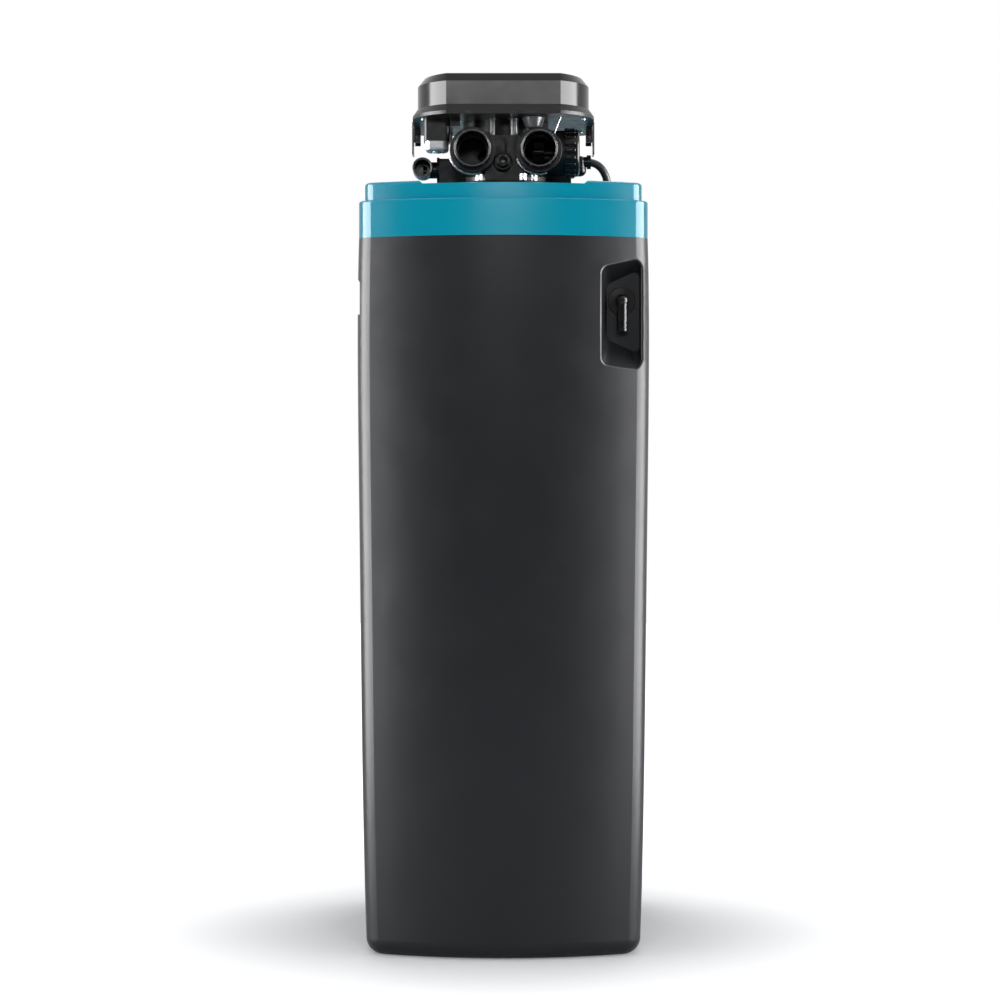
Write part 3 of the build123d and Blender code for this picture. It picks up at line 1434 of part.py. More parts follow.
with BuildPart() as idler_pin:
    with BuildSketch(Plane.XY.offset(head_bottom)):
        with Locations((idler_x, idler_y)):
            Circle(idler_pin_radius)
    extrude(amount=gear_high_z + free_clearance - head_bottom)
finish(idler_pin, "idler_pin")

with BuildPart() as drive_motor:
    with BuildSketch(Plane.XY.offset(motor_low_z)):
        with Locations((motor_x, motor_y)):
            RectangleRounded(2 * motor_half, 2 * motor_half, motor_corner)
    extrude(amount=head_bottom - free_clearance - motor_low_z)
    fillet(drive_motor.edges().group_by(Axis.Z)[0], motor_edge_radius)
    with BuildSketch(Plane.XY.offset(head_bottom - free_clearance - motor_shaft_depth)):
        with Locations((motor_x, motor_y)):
            Circle(motor_shaft_radius + running_clearance)
    extrude(amount=motor_shaft_depth, mode=Mode.SUBTRACT)
finish(drive_motor, "drive_motor")

# Latch pivots, shared by the base's ears and the two latches
latch_y = -60.0
latch_half_length = 14.0
latch_thickness = 2.0
latch_low_z = 964.0
latch_high_z = 1004.0
latch_pivot_z = 985.0
latch_pivot_x = 106.0
latch_pivot_radius = 2.0
ear_thickness = 3.0
ear_half = 3.5
ear_low_z = 978.0
latch_gap = 0.8
latch_x = head_half_width + latch_gap

with BuildPart() as head_base:
    with BuildSketch(Plane.XY.offset(head_bottom)):
        add(head_outline(0))
    extrude(amount=head_rim_height - rim_bevel_down)
    with BuildSketch(Plane.XY.offset(head_rim_top - rim_bevel_down)):
        add(head_outline(0))
    with BuildSketch(Plane.XY.offset(head_rim_top)):
        add(head_outline(rim_bevel_in))
    loft(ruled=True)
    with BuildSketch(Plane.XY.offset(head_bottom + base_floor)):
        add(head_outline(cover_inset + 2 * base_wall))
    extrude(amount=head_rim_height, mode=Mode.SUBTRACT)
    with BuildSketch(Plane.XY.offset(head_bottom)):
        with Locations((idler_x, idler_y)):
            Circle(base_boss_radius)
    extrude(amount=gear_lift - free_clearance)
    with BuildSketch(Plane.XY.offset(head_bottom - overrun)):
        with Locations((valve_x, valve_y)):
            Circle(base_shaft_hole)
        with Locations((motor_x, motor_y)):
            Circle(motor_nose_radius)
        with Locations((idler_x, idler_y)):
            Circle(idler_pin_radius)
    extrude(amount=2 * overrun + base_floor, mode=Mode.SUBTRACT)
    with BuildSketch(Plane.XY.offset(housing_low_z)):
        with Locations((motor_x, motor_y)):
            RectangleRounded(2 * housing_half, 2 * housing_half, housing_corner)
            RectangleRounded(
                2 * (motor_half + fit_clearance),
                2 * (motor_half + fit_clearance),
                motor_corner,
                mode=Mode.SUBTRACT,
            )
    extrude(amount=head_bottom - housing_low_z)
    with Locations((hanging_boss_x, hanging_boss_y, head_bottom - hanging_boss_height / 2)):
        Box(hanging_boss_width, hanging_boss_width, hanging_boss_height)
    for side in (-1, 1):
        for end in (-1, 1):
            ear_y = latch_y + end * (latch_half_length + free_clearance + ear_thickness / 2)
            with Locations((side * latch_pivot_x, ear_y, (ear_low_z + head_bottom) / 2)):
                Box(2 * ear_half, ear_thickness, head_bottom - ear_low_z)
        with BuildSketch(plane_along_y(side * latch_pivot_x, latch_y, latch_pivot_z)):
            Circle(latch_pivot_radius + running_clearance)
        extrude(amount=latch_half_length + 2 * ear_thickness, both=True, mode=Mode.SUBTRACT)
finish(head_base, "head_base")


def latch(side):
    """One sprung latch: a finger plate on a pivot pin between the base's ears."""
    plate_x = side * (latch_x + latch_thickness / 2)
    pin_half = latch_half_length + free_clearance + ear_thickness
    web_reach = latch_x - latch_pivot_x
    with BuildPart() as piece:
        with Locations((plate_x, latch_y, (latch_low_z + latch_high_z) / 2)):
            Box(latch_thickness, 2 * latch_half_length, latch_high_z - latch_low_z)
        fillet(piece.edges().filter_by(Axis.X), latch_pivot_radius)
        with Locations((side * (latch_pivot_x + web_reach / 2), latch_y, latch_pivot_z)):
            Box(web_reach, 2 * latch_half_length, 2 * latch_pivot_radius)
        with BuildSketch(plane_along_y(side * latch_pivot_x, latch_y, latch_pivot_z)):
            Circle(latch_pivot_radius)
        extrude(amount=pin_half, both=True)
    return piece


latch_left = latch(-1)
finish(latch_left, "latch_left")
latch_right = latch(1)
finish(latch_right, "latch_right")

# Pillars between the valve's web and the head, and the meter's sensor pod
pillar_places = ((-13.0, 3.3), (13.0, 5.0))
pillar_y = -158.5
sensor_x = 36.0
sensor_y = -158.0
sensor_radius = 14.0
sensor_height = 12.5
sensor_nose_radius = 9.0

with BuildPart() as head_pillars:
    for pillar_x, pillar_radius in pillar_places:
        with BuildSketch(Plane.XY.offset(web_top_z)):
            with Locations((pillar_x, pillar_y)):
                Circle(pillar_radius)
        extrude(amount=head_bottom - web_top_z)
finish(head_pillars, "head_pillars")

with BuildPart() as flow_sensor:
    with BuildSketch(Plane.XY.offset(head_bottom - sensor_height)):
        with Locations((sensor_x, sensor_y)):
            Circle(sensor_nose_radius)
    with BuildSketch(Plane.XY.offset(head_bottom)):
        with Locations((sensor_x, sensor_y)):
            Circle(sensor_radius)
    loft()
    fillet(flow_sensor.edges().group_by(Axis.Z)[0], base_floor)
finish(flow_sensor, "flow_sensor")

# Sloping front panel: its plane, the display, the buttons and the circuit board
window_width = 72.0
window_height = 22.0
window_thickness = 1.5
window_frame = 4.0
button_radius = 5.0
button_flange = 1.2
button_flange_thickness = 1.0
button_stand_out = 1.5
button_stem_length = 2.0
button_column = 50.0
button_row = 7.0
board_width = 116.0
board_height = 26.0
board_thickness = 1.6
board_depth = 8.5
post_radius = 2.0
post_reach = 81.0
slope_y = head_front_y - cover_inset - slope_rise / 2
slope_z = head_top - slope_rise / 2
panel = Plane(origin=(0, slope_y, slope_z), x_dir=(1, 0, 0), z_dir=(0, 1, 1))
button_places = {
    "button_menu": (-button_column, button_row),
    "button_regenerate": (-button_column, -button_row),
    "button_up": (button_column, button_row),
    "button_down": (button_column, -button_row),
}

with BuildPart() as head_cover:
    add(cover_form(cover_inset, head_rim_top + cover_gap, head_top))
    add(cover_form(cover_inset + head_wall, head_rim_top - overrun, head_top - head_wall), mode=Mode.SUBTRACT)
    with BuildSketch(panel.offset(-window_thickness)):
        Rectangle(window_width + 2 * fit_clearance, window_height + 2 * fit_clearance)
    extrude(amount=window_thickness + overrun, mode=Mode.SUBTRACT)
    with BuildSketch(panel.offset(-2 * head_wall)):
        Rectangle(window_width - 2 * window_frame, window_height - 2 * window_frame)
        for place in button_places.values():
            with Locations(place):
                Circle(button_radius + fit_clearance)
    extrude(amount=2 * head_wall + overrun, mode=Mode.SUBTRACT)
    for side in (-1, 1):
        with BuildSketch(panel.offset(-board_depth)):
            with Locations((side * post_reach / 2, 0)):
                Circle(post_radius)
        extrude(amount=board_depth - head_wall)
finish(head_cover, "head_cover")

with BuildPart() as display_window:
    with BuildSketch(panel.offset(-window_thickness)):
        Rectangle(window_width, window_height)
    extrude(amount=window_thickness)
finish(display_window, "display_window")

for button_name, place in button_places.items():
    with BuildPart() as button:
        with BuildSketch(panel.offset(-head_wall - button_stem_length)):
            with Locations(place):
                Circle(button_radius)
        extrude(amount=button_stand_out + head_wall + button_stem_length)
        fillet(button.edges().filter_by(GeomType.CIRCLE).sort_by(Axis.Z)[-1], button_flange_thickness / 2)
        with BuildSketch(panel.offset(-head_wall - free_clearance)):
            with Locations(place):
                Circle(button_radius + button_flange)
        extrude(amount=-button_flange_thickness)
    finish(button, button_name)

with BuildPart() as circuit_board:
    with BuildSketch(panel.offset(-board_depth)):
        Rectangle(board_width, board_height)
    extrude(amount=-board_thickness)
finish(circuit_board, "circuit_board")

# Power inlet under the base, near the user's side on the left
inlet_x = -70.0
inlet_y = -35.0
inlet_radius = 7.0
inlet_length = 14.0
inlet_bore_radius = 3.0
inlet_bore_depth = 10.0

with BuildPart() as power_inlet:
    with BuildSketch(Plane.XY.offset(head_bottom - inlet_length)):
        with Locations((inlet_x, inlet_y)):
            Circle(inlet_radius)
    extrude(amount=inlet_length)
    with BuildSketch(Plane.XY.offset(head_bottom - inlet_length)):
        with Locations((inlet_x, inlet_y)):
            Circle(inlet_bore_radius)
    extrude(amount=inlet_bore_depth, mode=Mode.SUBTRACT)
finish(power_inlet, "power_inlet")
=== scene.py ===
"""Cabinet water softener: dresses the fixed frame, adds its small detail, and lights it."""

import math

import bpy
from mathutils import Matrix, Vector


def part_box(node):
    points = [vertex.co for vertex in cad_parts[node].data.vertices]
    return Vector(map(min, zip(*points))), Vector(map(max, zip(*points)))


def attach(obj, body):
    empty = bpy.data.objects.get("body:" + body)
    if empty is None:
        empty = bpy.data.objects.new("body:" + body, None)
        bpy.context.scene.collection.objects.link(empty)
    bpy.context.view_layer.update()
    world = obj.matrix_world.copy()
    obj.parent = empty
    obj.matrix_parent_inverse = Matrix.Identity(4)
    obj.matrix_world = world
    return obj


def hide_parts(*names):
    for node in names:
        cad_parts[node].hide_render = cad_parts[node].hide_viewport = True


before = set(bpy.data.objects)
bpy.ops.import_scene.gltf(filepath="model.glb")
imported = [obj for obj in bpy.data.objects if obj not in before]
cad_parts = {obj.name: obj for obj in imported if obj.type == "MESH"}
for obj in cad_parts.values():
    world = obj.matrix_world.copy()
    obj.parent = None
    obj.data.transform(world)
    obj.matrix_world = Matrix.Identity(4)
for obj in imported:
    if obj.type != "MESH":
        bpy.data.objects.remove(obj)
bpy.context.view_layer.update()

bl_info = {
    "name": "Water softener",
    "version": (1, 0, 0),
    "blender": (4, 5, 0),
    "location": "3D View > Sidebar > Softener",
    "description": "Finishes and small pieces of a cabinet water softener",
    "category": "Object",
}

MM = 0.001


def linear(hex_colour):
    """Turns an sRGB hex colour into linear red, green, blue and alpha."""
    channels = [int(hex_colour[i : i + 2], 16) / 255 for i in (1, 3, 5)]
    return tuple(c / 12.92 if c <= 0.04045 else ((c + 0.055) / 1.055) ** 2.4 for c in channels) + (1.0,)


def middle(node):
    """The centre of a frame node's box."""
    low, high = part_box(node)
    return (Vector(low) + Vector(high)) / 2


# Sizes and colours that a user would change


def colour_setting(name, description, hex_colour):
    """A colour property with its default given as it looks on screen."""
    return bpy.props.FloatVectorProperty(
        name=name,
        description=description,
        default=linear(hex_colour),
        size=4,
        subtype="COLOR",
        min=0,
        max=1,
    )


def length_setting(name, description, millimetres):
    """A length property in metres with its default given in millimetres."""
    return bpy.props.FloatProperty(
        name=name, description=description, default=millimetres * MM, min=0, unit="LENGTH", precision=4
    )


class SoftenerColours(bpy.types.PropertyGroup):
    cabinet: colour_setting("Cabinet", "Dark grey polyethylene of the brine cabinet", "#1C1D21")
    cover: colour_setting("Cover", "Teal of the top cover and the salt lid", "#07ABC8")
    valve: colour_setting("Valve", "Glass-filled black of the valve body", "#0A0A0B")
    gloss_black: colour_setting("Gloss black", "Glossy black of the head and the pipe adapters", "#0B0B0C")
    white_parts: colour_setting("White parts", "Natural white of the brine well and the caps", "#D9D9D2")


class SoftenerSizes(bpy.types.PropertyGroup):
    screw_head: length_setting("Screw head", "Radius of a flange screw's head", 4.2)
    screw_rise: length_setting("Screw rise", "Height of a flange screw's head", 8.0)
    rim_bead: length_setting("Rim bead", "Thickness of the bead round a pipe port's mouth", 0.7)
    tube_bore: length_setting("Tube", "Outside diameter of the brine tube", 9.5)
    case_screw: length_setting("Case screw", "Radius of the small screws under the head", 3.0)


class SoftenerStage(bpy.types.PropertyGroup):
    camera_height: length_setting("Camera height", "Height of the camera above the floor", 538)
    camera_distance: length_setting("Camera distance", "How far it stands from the object's middle", 3250)
    lens: bpy.props.FloatProperty(
        name="Lens", description="Focal length", default=92.8, min=10, unit="CAMERA"
    )
    floor: colour_setting("Floor", "Colour of the plain floor", "#F4F4F4")


class SoftenerSettings(bpy.types.PropertyGroup):
    colours: bpy.props.PointerProperty(type=SoftenerColours, name="Colours", description="Colours")
    sizes: bpy.props.PointerProperty(type=SoftenerSizes, name="Sizes", description="Sizes of small pieces")
    stage: bpy.props.PointerProperty(type=SoftenerStage, name="Stage", description="Camera and floor")


def settings():
    """The softener's settings in the open scene."""
    return bpy.context.scene.softener


# Material building


def add_node(tree, kind, values=(), links=()):
    """Adds one shader node, sets its values and joins its inputs to other nodes' outputs."""
    made = tree.nodes.new(kind)
    for name, value in dict(values).items():
        if isinstance(name, int) or name in made.inputs:
            made.inputs[name].default_value = value
        else:
            setattr(made, name, value)
    for name, source in dict(links).items():
        tree.links.new(source, made.inputs[name])
    return made


def start_material(name, colour, roughness, values=()):
    """A new material of one colour and roughness, with its node tree and its shader."""
    material = bpy.data.materials.new(name)
    material.use_nodes = True
    tree = material.node_tree
    shader = tree.nodes["Principled BSDF"]
    shader.inputs["Base Color"].default_value = colour
    shader.inputs["Roughness"].default_value = roughness
    for socket, value in dict(values).items():
        shader.inputs[socket].default_value = value
    material.diffuse_color = colour
    return material, tree, shader


def give_grain(tree, shader, grain_mm, depth_mm, detail=3.0):
    """A moulded or cast surface's grain: even bumps of one size, a little irregular."""
    place = add_node(tree, "ShaderNodeTexCoord")
    grains = add_node(
        tree,
        "ShaderNodeTexNoise",
        {"Scale": 1000 / grain_mm, "Detail": detail, "Roughness": 0.55},
        {"Vector": place.outputs["Object"]},
    )
    bump = add_node(
        tree,
        "ShaderNodeBump",
        {"Strength": 1.0, "Distance": depth_mm * MM},
        {"Height": grains.outputs["Fac"]},
    )
    tree.links.new(bump.outputs["Normal"], shader.inputs["Normal"])
    return bump


def give_patches(tree, shader, colour, other, patch_mm, soft=0.5):
    """Slow changes from one colour to another, as thickness and handling give a moulding."""
    place = add_node(tree, "ShaderNodeTexCoord")
    patches = add_node(
        tree,
        "ShaderNodeTexNoise",
        {"Scale": 1000 / patch_mm, "Detail": 2.0, "Roughness": soft},
        {"Vector": place.outputs["Object"]},
    )
    mixed = add_node(
        tree, "ShaderNodeMixRGB", {"Color1": colour, "Color2": other}, {"Fac": patches.outputs["Fac"]}
    )
    tree.links.new(mixed.outputs["Color"], shader.inputs["Base Color"])
    return mixed


def give_handled_gloss(tree, shader, smooth, rough, patch_mm):
    """Gloss that varies from place to place, where hands and cloths have rubbed."""
    place = add_node(tree, "ShaderNodeTexCoord")
    rubbed = add_node(
        tree,
        "ShaderNodeTexNoise",
        {"Scale": 1000 / patch_mm, "Detail": 4.0, "Roughness": 0.6},
        {"Vector": place.outputs["Object"]},
    )
    ranged = add_node(
        tree,
        "ShaderNodeMapRange",
        {"From Min": 0.3, "From Max": 0.7, "To Min": smooth, "To Max": rough},
        {"Value": rubbed.outputs["Fac"]},
    )
    tree.links.new(ranged.outputs["Result"], shader.inputs["Roughness"])


# Materials, each named for what the real one is, and the rim's also for its painted highlight


def cabinet_polyethylene():
    """Blow-moulded polyethylene off a blasted mould: dark, dull, with a soft sheen at the corners."""
    colour = settings().colours.cabinet
    gloss = {"Specular IOR Level": 0.33}
    material, tree, shader = start_material("cabinet_polyethylene", colour, 0.35, gloss)
    give_patches(tree, shader, colour, linear("#1F2024"), 140)
    # The blasted grain is about 0.4 mm, drawn at 1.2 mm so that it shows
    give_grain(tree, shader, 1.2, 0.05)
    give_handled_gloss(tree, shader, 0.33, 0.37, 60)
    return material


def cover_abs():
    """Injection-moulded teal ABS: smooth and shiny, with the faintest mould ripple."""
    colour = settings().colours.cover
    gloss = {"IOR": 1.53, "Specular IOR Level": 0.36}
    material, tree, shader = start_material("cover_abs", colour, 0.2, gloss)
    give_patches(tree, shader, colour, linear("#06A5C1"), 90)
    give_grain(tree, shader, 6.0, 0.012, 1.0)
    give_handled_gloss(tree, shader, 0.17, 0.21, 40)
    return material


def valve_noryl():
    """Glass-filled black moulding: dull, with short fibre swirls near the gates."""
    colour = settings().colours.valve
    gloss = {"IOR": 1.55, "Specular IOR Level": 0.3}
    material, tree, shader = start_material("valve_noryl", colour, 0.36, gloss)
    give_patches(tree, shader, colour, linear("#101011"), 9)
    give_grain(tree, shader, 0.7, 0.02, 4.0)
    give_handled_gloss(tree, shader, 0.28, 0.46, 8)
    return material


def adapter_acetal():
    """Turned and moulded black acetal: even and semi-gloss, a little greasy to the eye."""
    colour = settings().colours.gloss_black
    gloss = {"IOR": 1.48, "Specular IOR Level": 0.4}
    material, tree, shader = start_material("adapter_acetal", colour, 0.24, gloss)
    give_patches(tree, shader, colour, linear("#0E0E0F"), 12)
    give_grain(tree, shader, 2.5, 0.008, 1.0)
    give_handled_gloss(tree, shader, 0.18, 0.3, 14)
    return material


def rim_painted_highlight():
    """The same acetal at a port's mouth, drawn pale grey as a painted highlight: the bright reflected ring
    round the mouth.
    """
    # Painted highlight: pale grey in place of the bright ring that the black rim reflects
    colour = linear("#5A5A5C")
    material, tree, shader = start_material("rim_painted_highlight", colour, 0.16, {"IOR": 1.6})
    give_patches(tree, shader, colour, linear("#4C4C4E"), 6)
    give_grain(tree, shader, 1.2, 0.004, 1.0)
    return material


def head_abs():
    """High-gloss black ABS of the valve head: mirror-like, with fine dust-cloth marks."""
    colour = settings().colours.gloss_black
    gloss = {"IOR": 1.54, "Specular IOR Level": 0.28}
    material, tree, shader = start_material("head_abs", colour, 0.2, gloss)
    give_patches(tree, shader, colour, linear("#0F0F10"), 50)
    give_grain(tree, shader, 8.0, 0.01, 1.0)
    give_handled_gloss(tree, shader, 0.16, 0.21, 30)
    return material


def sealing_rubber():
    """Pressed black rubber: soft, matt and slightly bloomed."""
    colour = linear("#161616")
    material, tree, shader = start_material("sealing_rubber", colour, 0.7, {"IOR": 1.52})
    give_patches(tree, shader, colour, linear("#242423"), 10)
    give_grain(tree, shader, 0.8, 0.03)
    return material


def tube_polyethylene():
    """Extruded black polyethylene tube: waxy, with faint lines along its length."""
    colour = linear("#17181A")
    material, tree, shader = start_material("tube_polyethylene", colour, 0.34, {"IOR": 1.51})
    give_patches(tree, shader, colour, linear("#202124"), 20)
    give_grain(tree, shader, 1.5, 0.015)
    return material


def bright_steel():
    """Zinc-plated and cold-headed steel: bright, with fine scratches from the tumbler."""
    colour = linear("#C9CACB")
    material, tree, shader = start_material("bright_steel", colour, 0.28, {"Metallic": 1.0})
    give_patches(tree, shader, colour, linear("#B3B5B8"), 3)
    give_grain(tree, shader, 0.35, 0.006, 5.0)
    give_handled_gloss(tree, shader, 0.2, 0.38, 2)
    return material


def motor_zinc():
    """Pressed and zinc-plated motor can: pale grey metal with a satin bloom."""
    colour = linear("#D2D4D6")
    material, tree, shader = start_material("motor_zinc", colour, 0.42, {"Metallic": 0.9})
    give_patches(tree, shader, colour, linear("#9EA1A4"), 6)
    give_grain(tree, shader, 0.6, 0.01)
    return material


def pinion_brass():
    """Cut brass: yellow, with cutter marks."""
    colour = linear("#C9A557")
    material, tree, shader = start_material("pinion_brass", colour, 0.3, {"Metallic": 1.0})
    give_patches(tree, shader, colour, linear("#B48F45"), 3)
    give_grain(tree, shader, 0.3, 0.006)
    return material


def natural_polyethylene():
    """Unpigmented polyethylene: milky white and waxy, and light goes a little way in."""
    colour = settings().colours.white_parts
    material, tree, shader = start_material("natural_polyethylene", colour, 0.45, {"IOR": 1.51})
    give_patches(tree, shader, colour, linear("#CFCFC6"), 60)
    give_grain(tree, shader, 1.4, 0.03)
    return material


def extruded_pvc():
    """Extruded white PVC tube: smooth and faintly cream."""
    colour = linear("#DCDAD0")
    material, tree, shader = start_material("extruded_pvc", colour, 0.35, {"IOR": 1.53})
    give_patches(tree, shader, colour, linear("#D2D0C4"), 35)
    give_grain(tree, shader, 2.0, 0.01, 1.0)
    return material


def wound_glass_fibre():
    """Glass fibre wound in resin over a liner: grey-green, with crossing bands of thread."""
    colour = linear("#8E9694")
    material, tree, shader = start_material("wound_glass_fibre", colour, 0.35, {"IOR": 1.54})
    place = add_node(tree, "ShaderNodeTexCoord")
    # Bands of thread about 6 mm wide, laid up the tank in two directions
    rising = add_node(
        tree,
        "ShaderNodeMapping",
        {"Rotation": (0.0, math.radians(32), 0.0)},
        {"Vector": place.outputs["Object"]},
    )
    falling = add_node(
        tree,
        "ShaderNodeMapping",
        {"Rotation": (0.0, math.radians(-32), 0.0)},
        {"Vector": place.outputs["Object"]},
    )
    bands = [
        add_node(
            tree,
            "ShaderNodeTexWave",
            {"Scale": 26.0, "Distortion": 1.2, "Detail": 2.0, "bands_direction": "Z"},
            {"Vector": turned.outputs["Vector"]},
        )
        for turned in (rising, falling)
    ]
    crossed = add_node(
        tree,
        "ShaderNodeMath",
        {"operation": "MAXIMUM"},
        {0: bands[0].outputs["Fac"], 1: bands[1].outputs["Fac"]},
    )
    mixed = add_node(
        tree,
        "ShaderNodeMixRGB",
        {"Color1": linear("#7C8583"), "Color2": linear("#A1A8A5")},
        {"Fac": crossed.outputs["Value"]},
    )
    bump = add_node(
        tree,
        "ShaderNodeBump",
        {"Strength": 0.8, "Distance": 0.25 * MM},
        {"Height": crossed.outputs["Value"]},
    )
    tree.links.new(mixed.outputs["Color"], shader.inputs["Base Color"])
    tree.links.new(bump.outputs["Normal"], shader.inputs["Normal"])
    return material


def boot_polyethylene():
    """Black moulded foot of the tank: dull and scuffed."""
    colour = linear("#0E0E0F")
    material, tree, shader = start_material("boot_polyethylene", colour, 0.5, {"IOR": 1.5})
    give_patches(tree, shader, colour, linear("#2A2A2B"), 40)
    give_grain(tree, shader, 1.0, 0.05)
    return material


def resin_beads():
    """Packed ion-exchange beads: amber and glassy, with painted shade in the gaps between them, drawn at
    1.5 mm where the real ones are 0.6 mm.
    """
    colour = linear("#B0741F")
    material, tree, shader = start_material("resin_beads", colour, 0.25, {"IOR": 1.5})
    place = add_node(tree, "ShaderNodeTexCoord")
    beads = add_node(
        tree, "ShaderNodeTexVoronoi", {"Scale": 1000 / 1.5}, {"Vector": place.outputs["Object"]}
    )
    # Painted shade: amber at each bead's middle, dark brown at its edge and in the gaps between beads
    mixed = add_node(
        tree,
        "ShaderNodeMixRGB",
        {"Color1": linear("#C98A2E"), "Color2": linear("#6B3F0D")},
        {"Fac": beads.outputs["Distance"]},
    )
    bump = add_node(
        tree,
        "ShaderNodeBump",
        {"Strength": 1.0, "Distance": 0.4 * MM, "invert": True},
        {"Height": beads.outputs["Distance"]},
    )
    tree.links.new(mixed.outputs["Color"], shader.inputs["Base Color"])
    tree.links.new(bump.outputs["Normal"], shader.inputs["Normal"])
    return material


def lapped_ceramic():
    """Lapped alumina discs: dense white with a dull polish."""
    colour = linear("#EFEDE6")
    material, tree, shader = start_material("lapped_ceramic", colour, 0.22, {"IOR": 1.7})
    give_patches(tree, shader, colour, linear("#E4E1D8"), 8)
    give_grain(tree, shader, 0.5, 0.004)
    return material


def gear_acetal():
    """Moulded white acetal gears: smooth, slightly warm white."""
    colour = linear("#E1DFD3")
    material, tree, shader = start_material("gear_acetal", colour, 0.38, {"IOR": 1.48})
    give_patches(tree, shader, colour, linear("#D5D2C4"), 10)
    give_grain(tree, shader, 1.0, 0.01)
    return material


def smoked_acrylic():
    """Smoked acrylic over a dark display: a clean dark mirror with a faint blue cast."""
    colour = linear("#0B1013")
    material, tree, shader = start_material("smoked_acrylic", colour, 0.08, {"IOR": 1.49})
    give_patches(tree, shader, colour, linear("#10171B"), 20)
    give_handled_gloss(tree, shader, 0.05, 0.12, 25)
    return material


def key_silicone():
    """Grey silicone keys: matt and skin-soft."""
    colour = linear("#6C6F72")
    material, tree, shader = start_material("key_silicone", colour, 0.6, {"IOR": 1.43})
    give_patches(tree, shader, colour, linear("#76797C"), 5)
    give_grain(tree, shader, 0.6, 0.02)
    return material


def key_print():
    """White ink of the marks on the keys: thin and matt."""
    colour = linear("#D8DADB")
    material, tree, shader = start_material("key_print", colour, 0.55, {"IOR": 1.5})
    give_patches(tree, shader, colour, linear("#C9CBCD"), 1.5)
    give_grain(tree, shader, 0.4, 0.01)
    return material


def board_glass_epoxy():
    """Green solder mask on glass epoxy: glossy, with copper tracks showing as a faint relief."""
    colour = linear("#12492B")
    material, tree, shader = start_material("board_glass_epoxy", colour, 0.28, {"IOR": 1.55})
    place = add_node(tree, "ShaderNodeTexCoord")
    # Tracks about 1 mm apart
    tracks = add_node(
        tree,
        "ShaderNodeTexBrick",
        {
            "Scale": 1000 / 12,
            "Color1": linear("#1B6A3D"),
            "Color2": linear("#155A33"),
            "Mortar": linear("#0E3B22"),
            "Mortar Size": 0.04,
            "Brick Width": 0.7,
            "Row Height": 0.1,
        },
        {"Vector": place.outputs["Object"]},
    )
    bump = add_node(
        tree,
        "ShaderNodeBump",
        {"Strength": 0.6, "Distance": 0.05 * MM},
        {"Height": tracks.outputs["Fac"]},
    )
    tree.links.new(tracks.outputs["Color"], shader.inputs["Base Color"])
    tree.links.new(bump.outputs["Normal"], shader.inputs["Normal"])
    return material


def sensor_grey():
    """Grey polycarbonate of the sensor pod and the head's pillars: polished and pale."""
    colour = linear("#6F7173")
    material, tree, shader = start_material("sensor_grey", colour, 0.22, {"IOR": 1.58})
    give_patches(tree, shader, colour, linear("#7F8183"), 6)
    give_grain(tree, shader, 1.5, 0.008)
    return material


FINISHES = {
    cabinet_polyethylene: ("cabinet",),
    cover_abs: ("top_cover", "salt_lid"),
    valve_noryl: (
        "valve_body",
        "valve_bonnet",
        "injector_bolt",
        "drain_lock_ring",
        "meter_plug",
        "meter_turbine",
        "head_base",
    ),
    adapter_acetal: (
        "inlet_adapter",
        "outlet_adapter",
        "meter_nut",
        "drain_elbow",
        "brine_elbow",
        "brine_nut",
        "overflow_elbow",
        "overflow_nut",
        "power_inlet",
    ),
    head_abs: ("head_cover", "latch_left", "latch_right"),
    sealing_rubber: ("tank_seal", "shaft_seal", "drain_flow_washer", "tube_grommet", "overflow_grommet"),
    tube_polyethylene: ("brine_tube",),
    bright_steel: ("flange_screws", "adapter_clips", "lid_hinge_pin", "valve_shaft", "idler_pin"),
    motor_zinc: ("drive_motor",),
    pinion_brass: ("motor_pinion",),
    natural_polyethylene: (
        "brine_well",
        "brine_well_cap",
        "safety_valve",
        "air_check",
        "float_cup",
        "lower_distributor",
        "upper_basket",
    ),
    extruded_pvc: ("riser_tube", "pickup_tube", "float_rod"),
    wound_glass_fibre: ("pressure_tank",),
    boot_polyethylene: ("tank_boot",),
    resin_beads: ("resin_bed",),
    lapped_ceramic: ("fixed_disc", "moving_disc"),
    gear_acetal: ("main_gear", "idler_gear"),
    smoked_acrylic: ("display_window",),
    key_silicone: ("button_menu", "button_regenerate", "button_up", "button_down"),
    board_glass_epoxy: ("circuit_board",),
    sensor_grey: ("flow_sensor", "head_pillars"),
}
# The rim finish is pale as a painted highlight; the key print is real ink
EXTRA_FINISHES = (key_print, rim_painted_highlight)


def finish_named(name):
    """A finish made earlier by the finishing operator."""
    return bpy.data.materials[name]


# Modelling


def only(piece):
    """Leaves one piece selected and active, in object mode."""
    if bpy.context.object and bpy.context.object.mode != "OBJECT":
        bpy.ops.object.mode_set(mode="OBJECT")
    bpy.ops.object.select_all(action="DESELECT")
    piece.select_set(True)
    bpy.context.view_layer.objects.active = piece


def clear_selection():
    """Leaves nothing selected, so that a new primitive is alone."""
    if bpy.context.object and bpy.context.object.mode != "OBJECT":
        bpy.ops.object.mode_set(mode="OBJECT")
    bpy.ops.object.select_all(action="DESELECT")


def modify(piece, kind, **values):
    """Adds one modifier and applies it."""
    only(piece)
    modifier = piece.modifiers.new(kind.title(), kind)
    for name, value in values.items():
        setattr(modifier, name, value)
    bpy.ops.object.modifier_apply(modifier=modifier.name)


def settle(piece, name, body, finish, angle=40):
    """Brings a finished piece's origin to the frame's, shades it, and lets it ride on its body."""
    only(piece)
    bpy.ops.object.transform_apply(location=True, rotation=True, scale=True)
    bpy.ops.object.shade_smooth_by_angle(angle=math.radians(angle))
    piece.name = name
    piece.data.name = name
    piece.data.materials.clear()
    piece.data.materials.append(finish_named(finish))
    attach(piece, body)
    return piece


def join(pieces):
    """Makes several meshes one piece."""
    clear_selection()
    for piece in pieces:
        if not piece.data.vertices:
            raise RuntimeError(f"{piece.name} is empty")
        piece.select_set(True)
    bpy.context.view_layer.objects.active = pieces[0]
    bpy.ops.object.join()
    return bpy.context.object


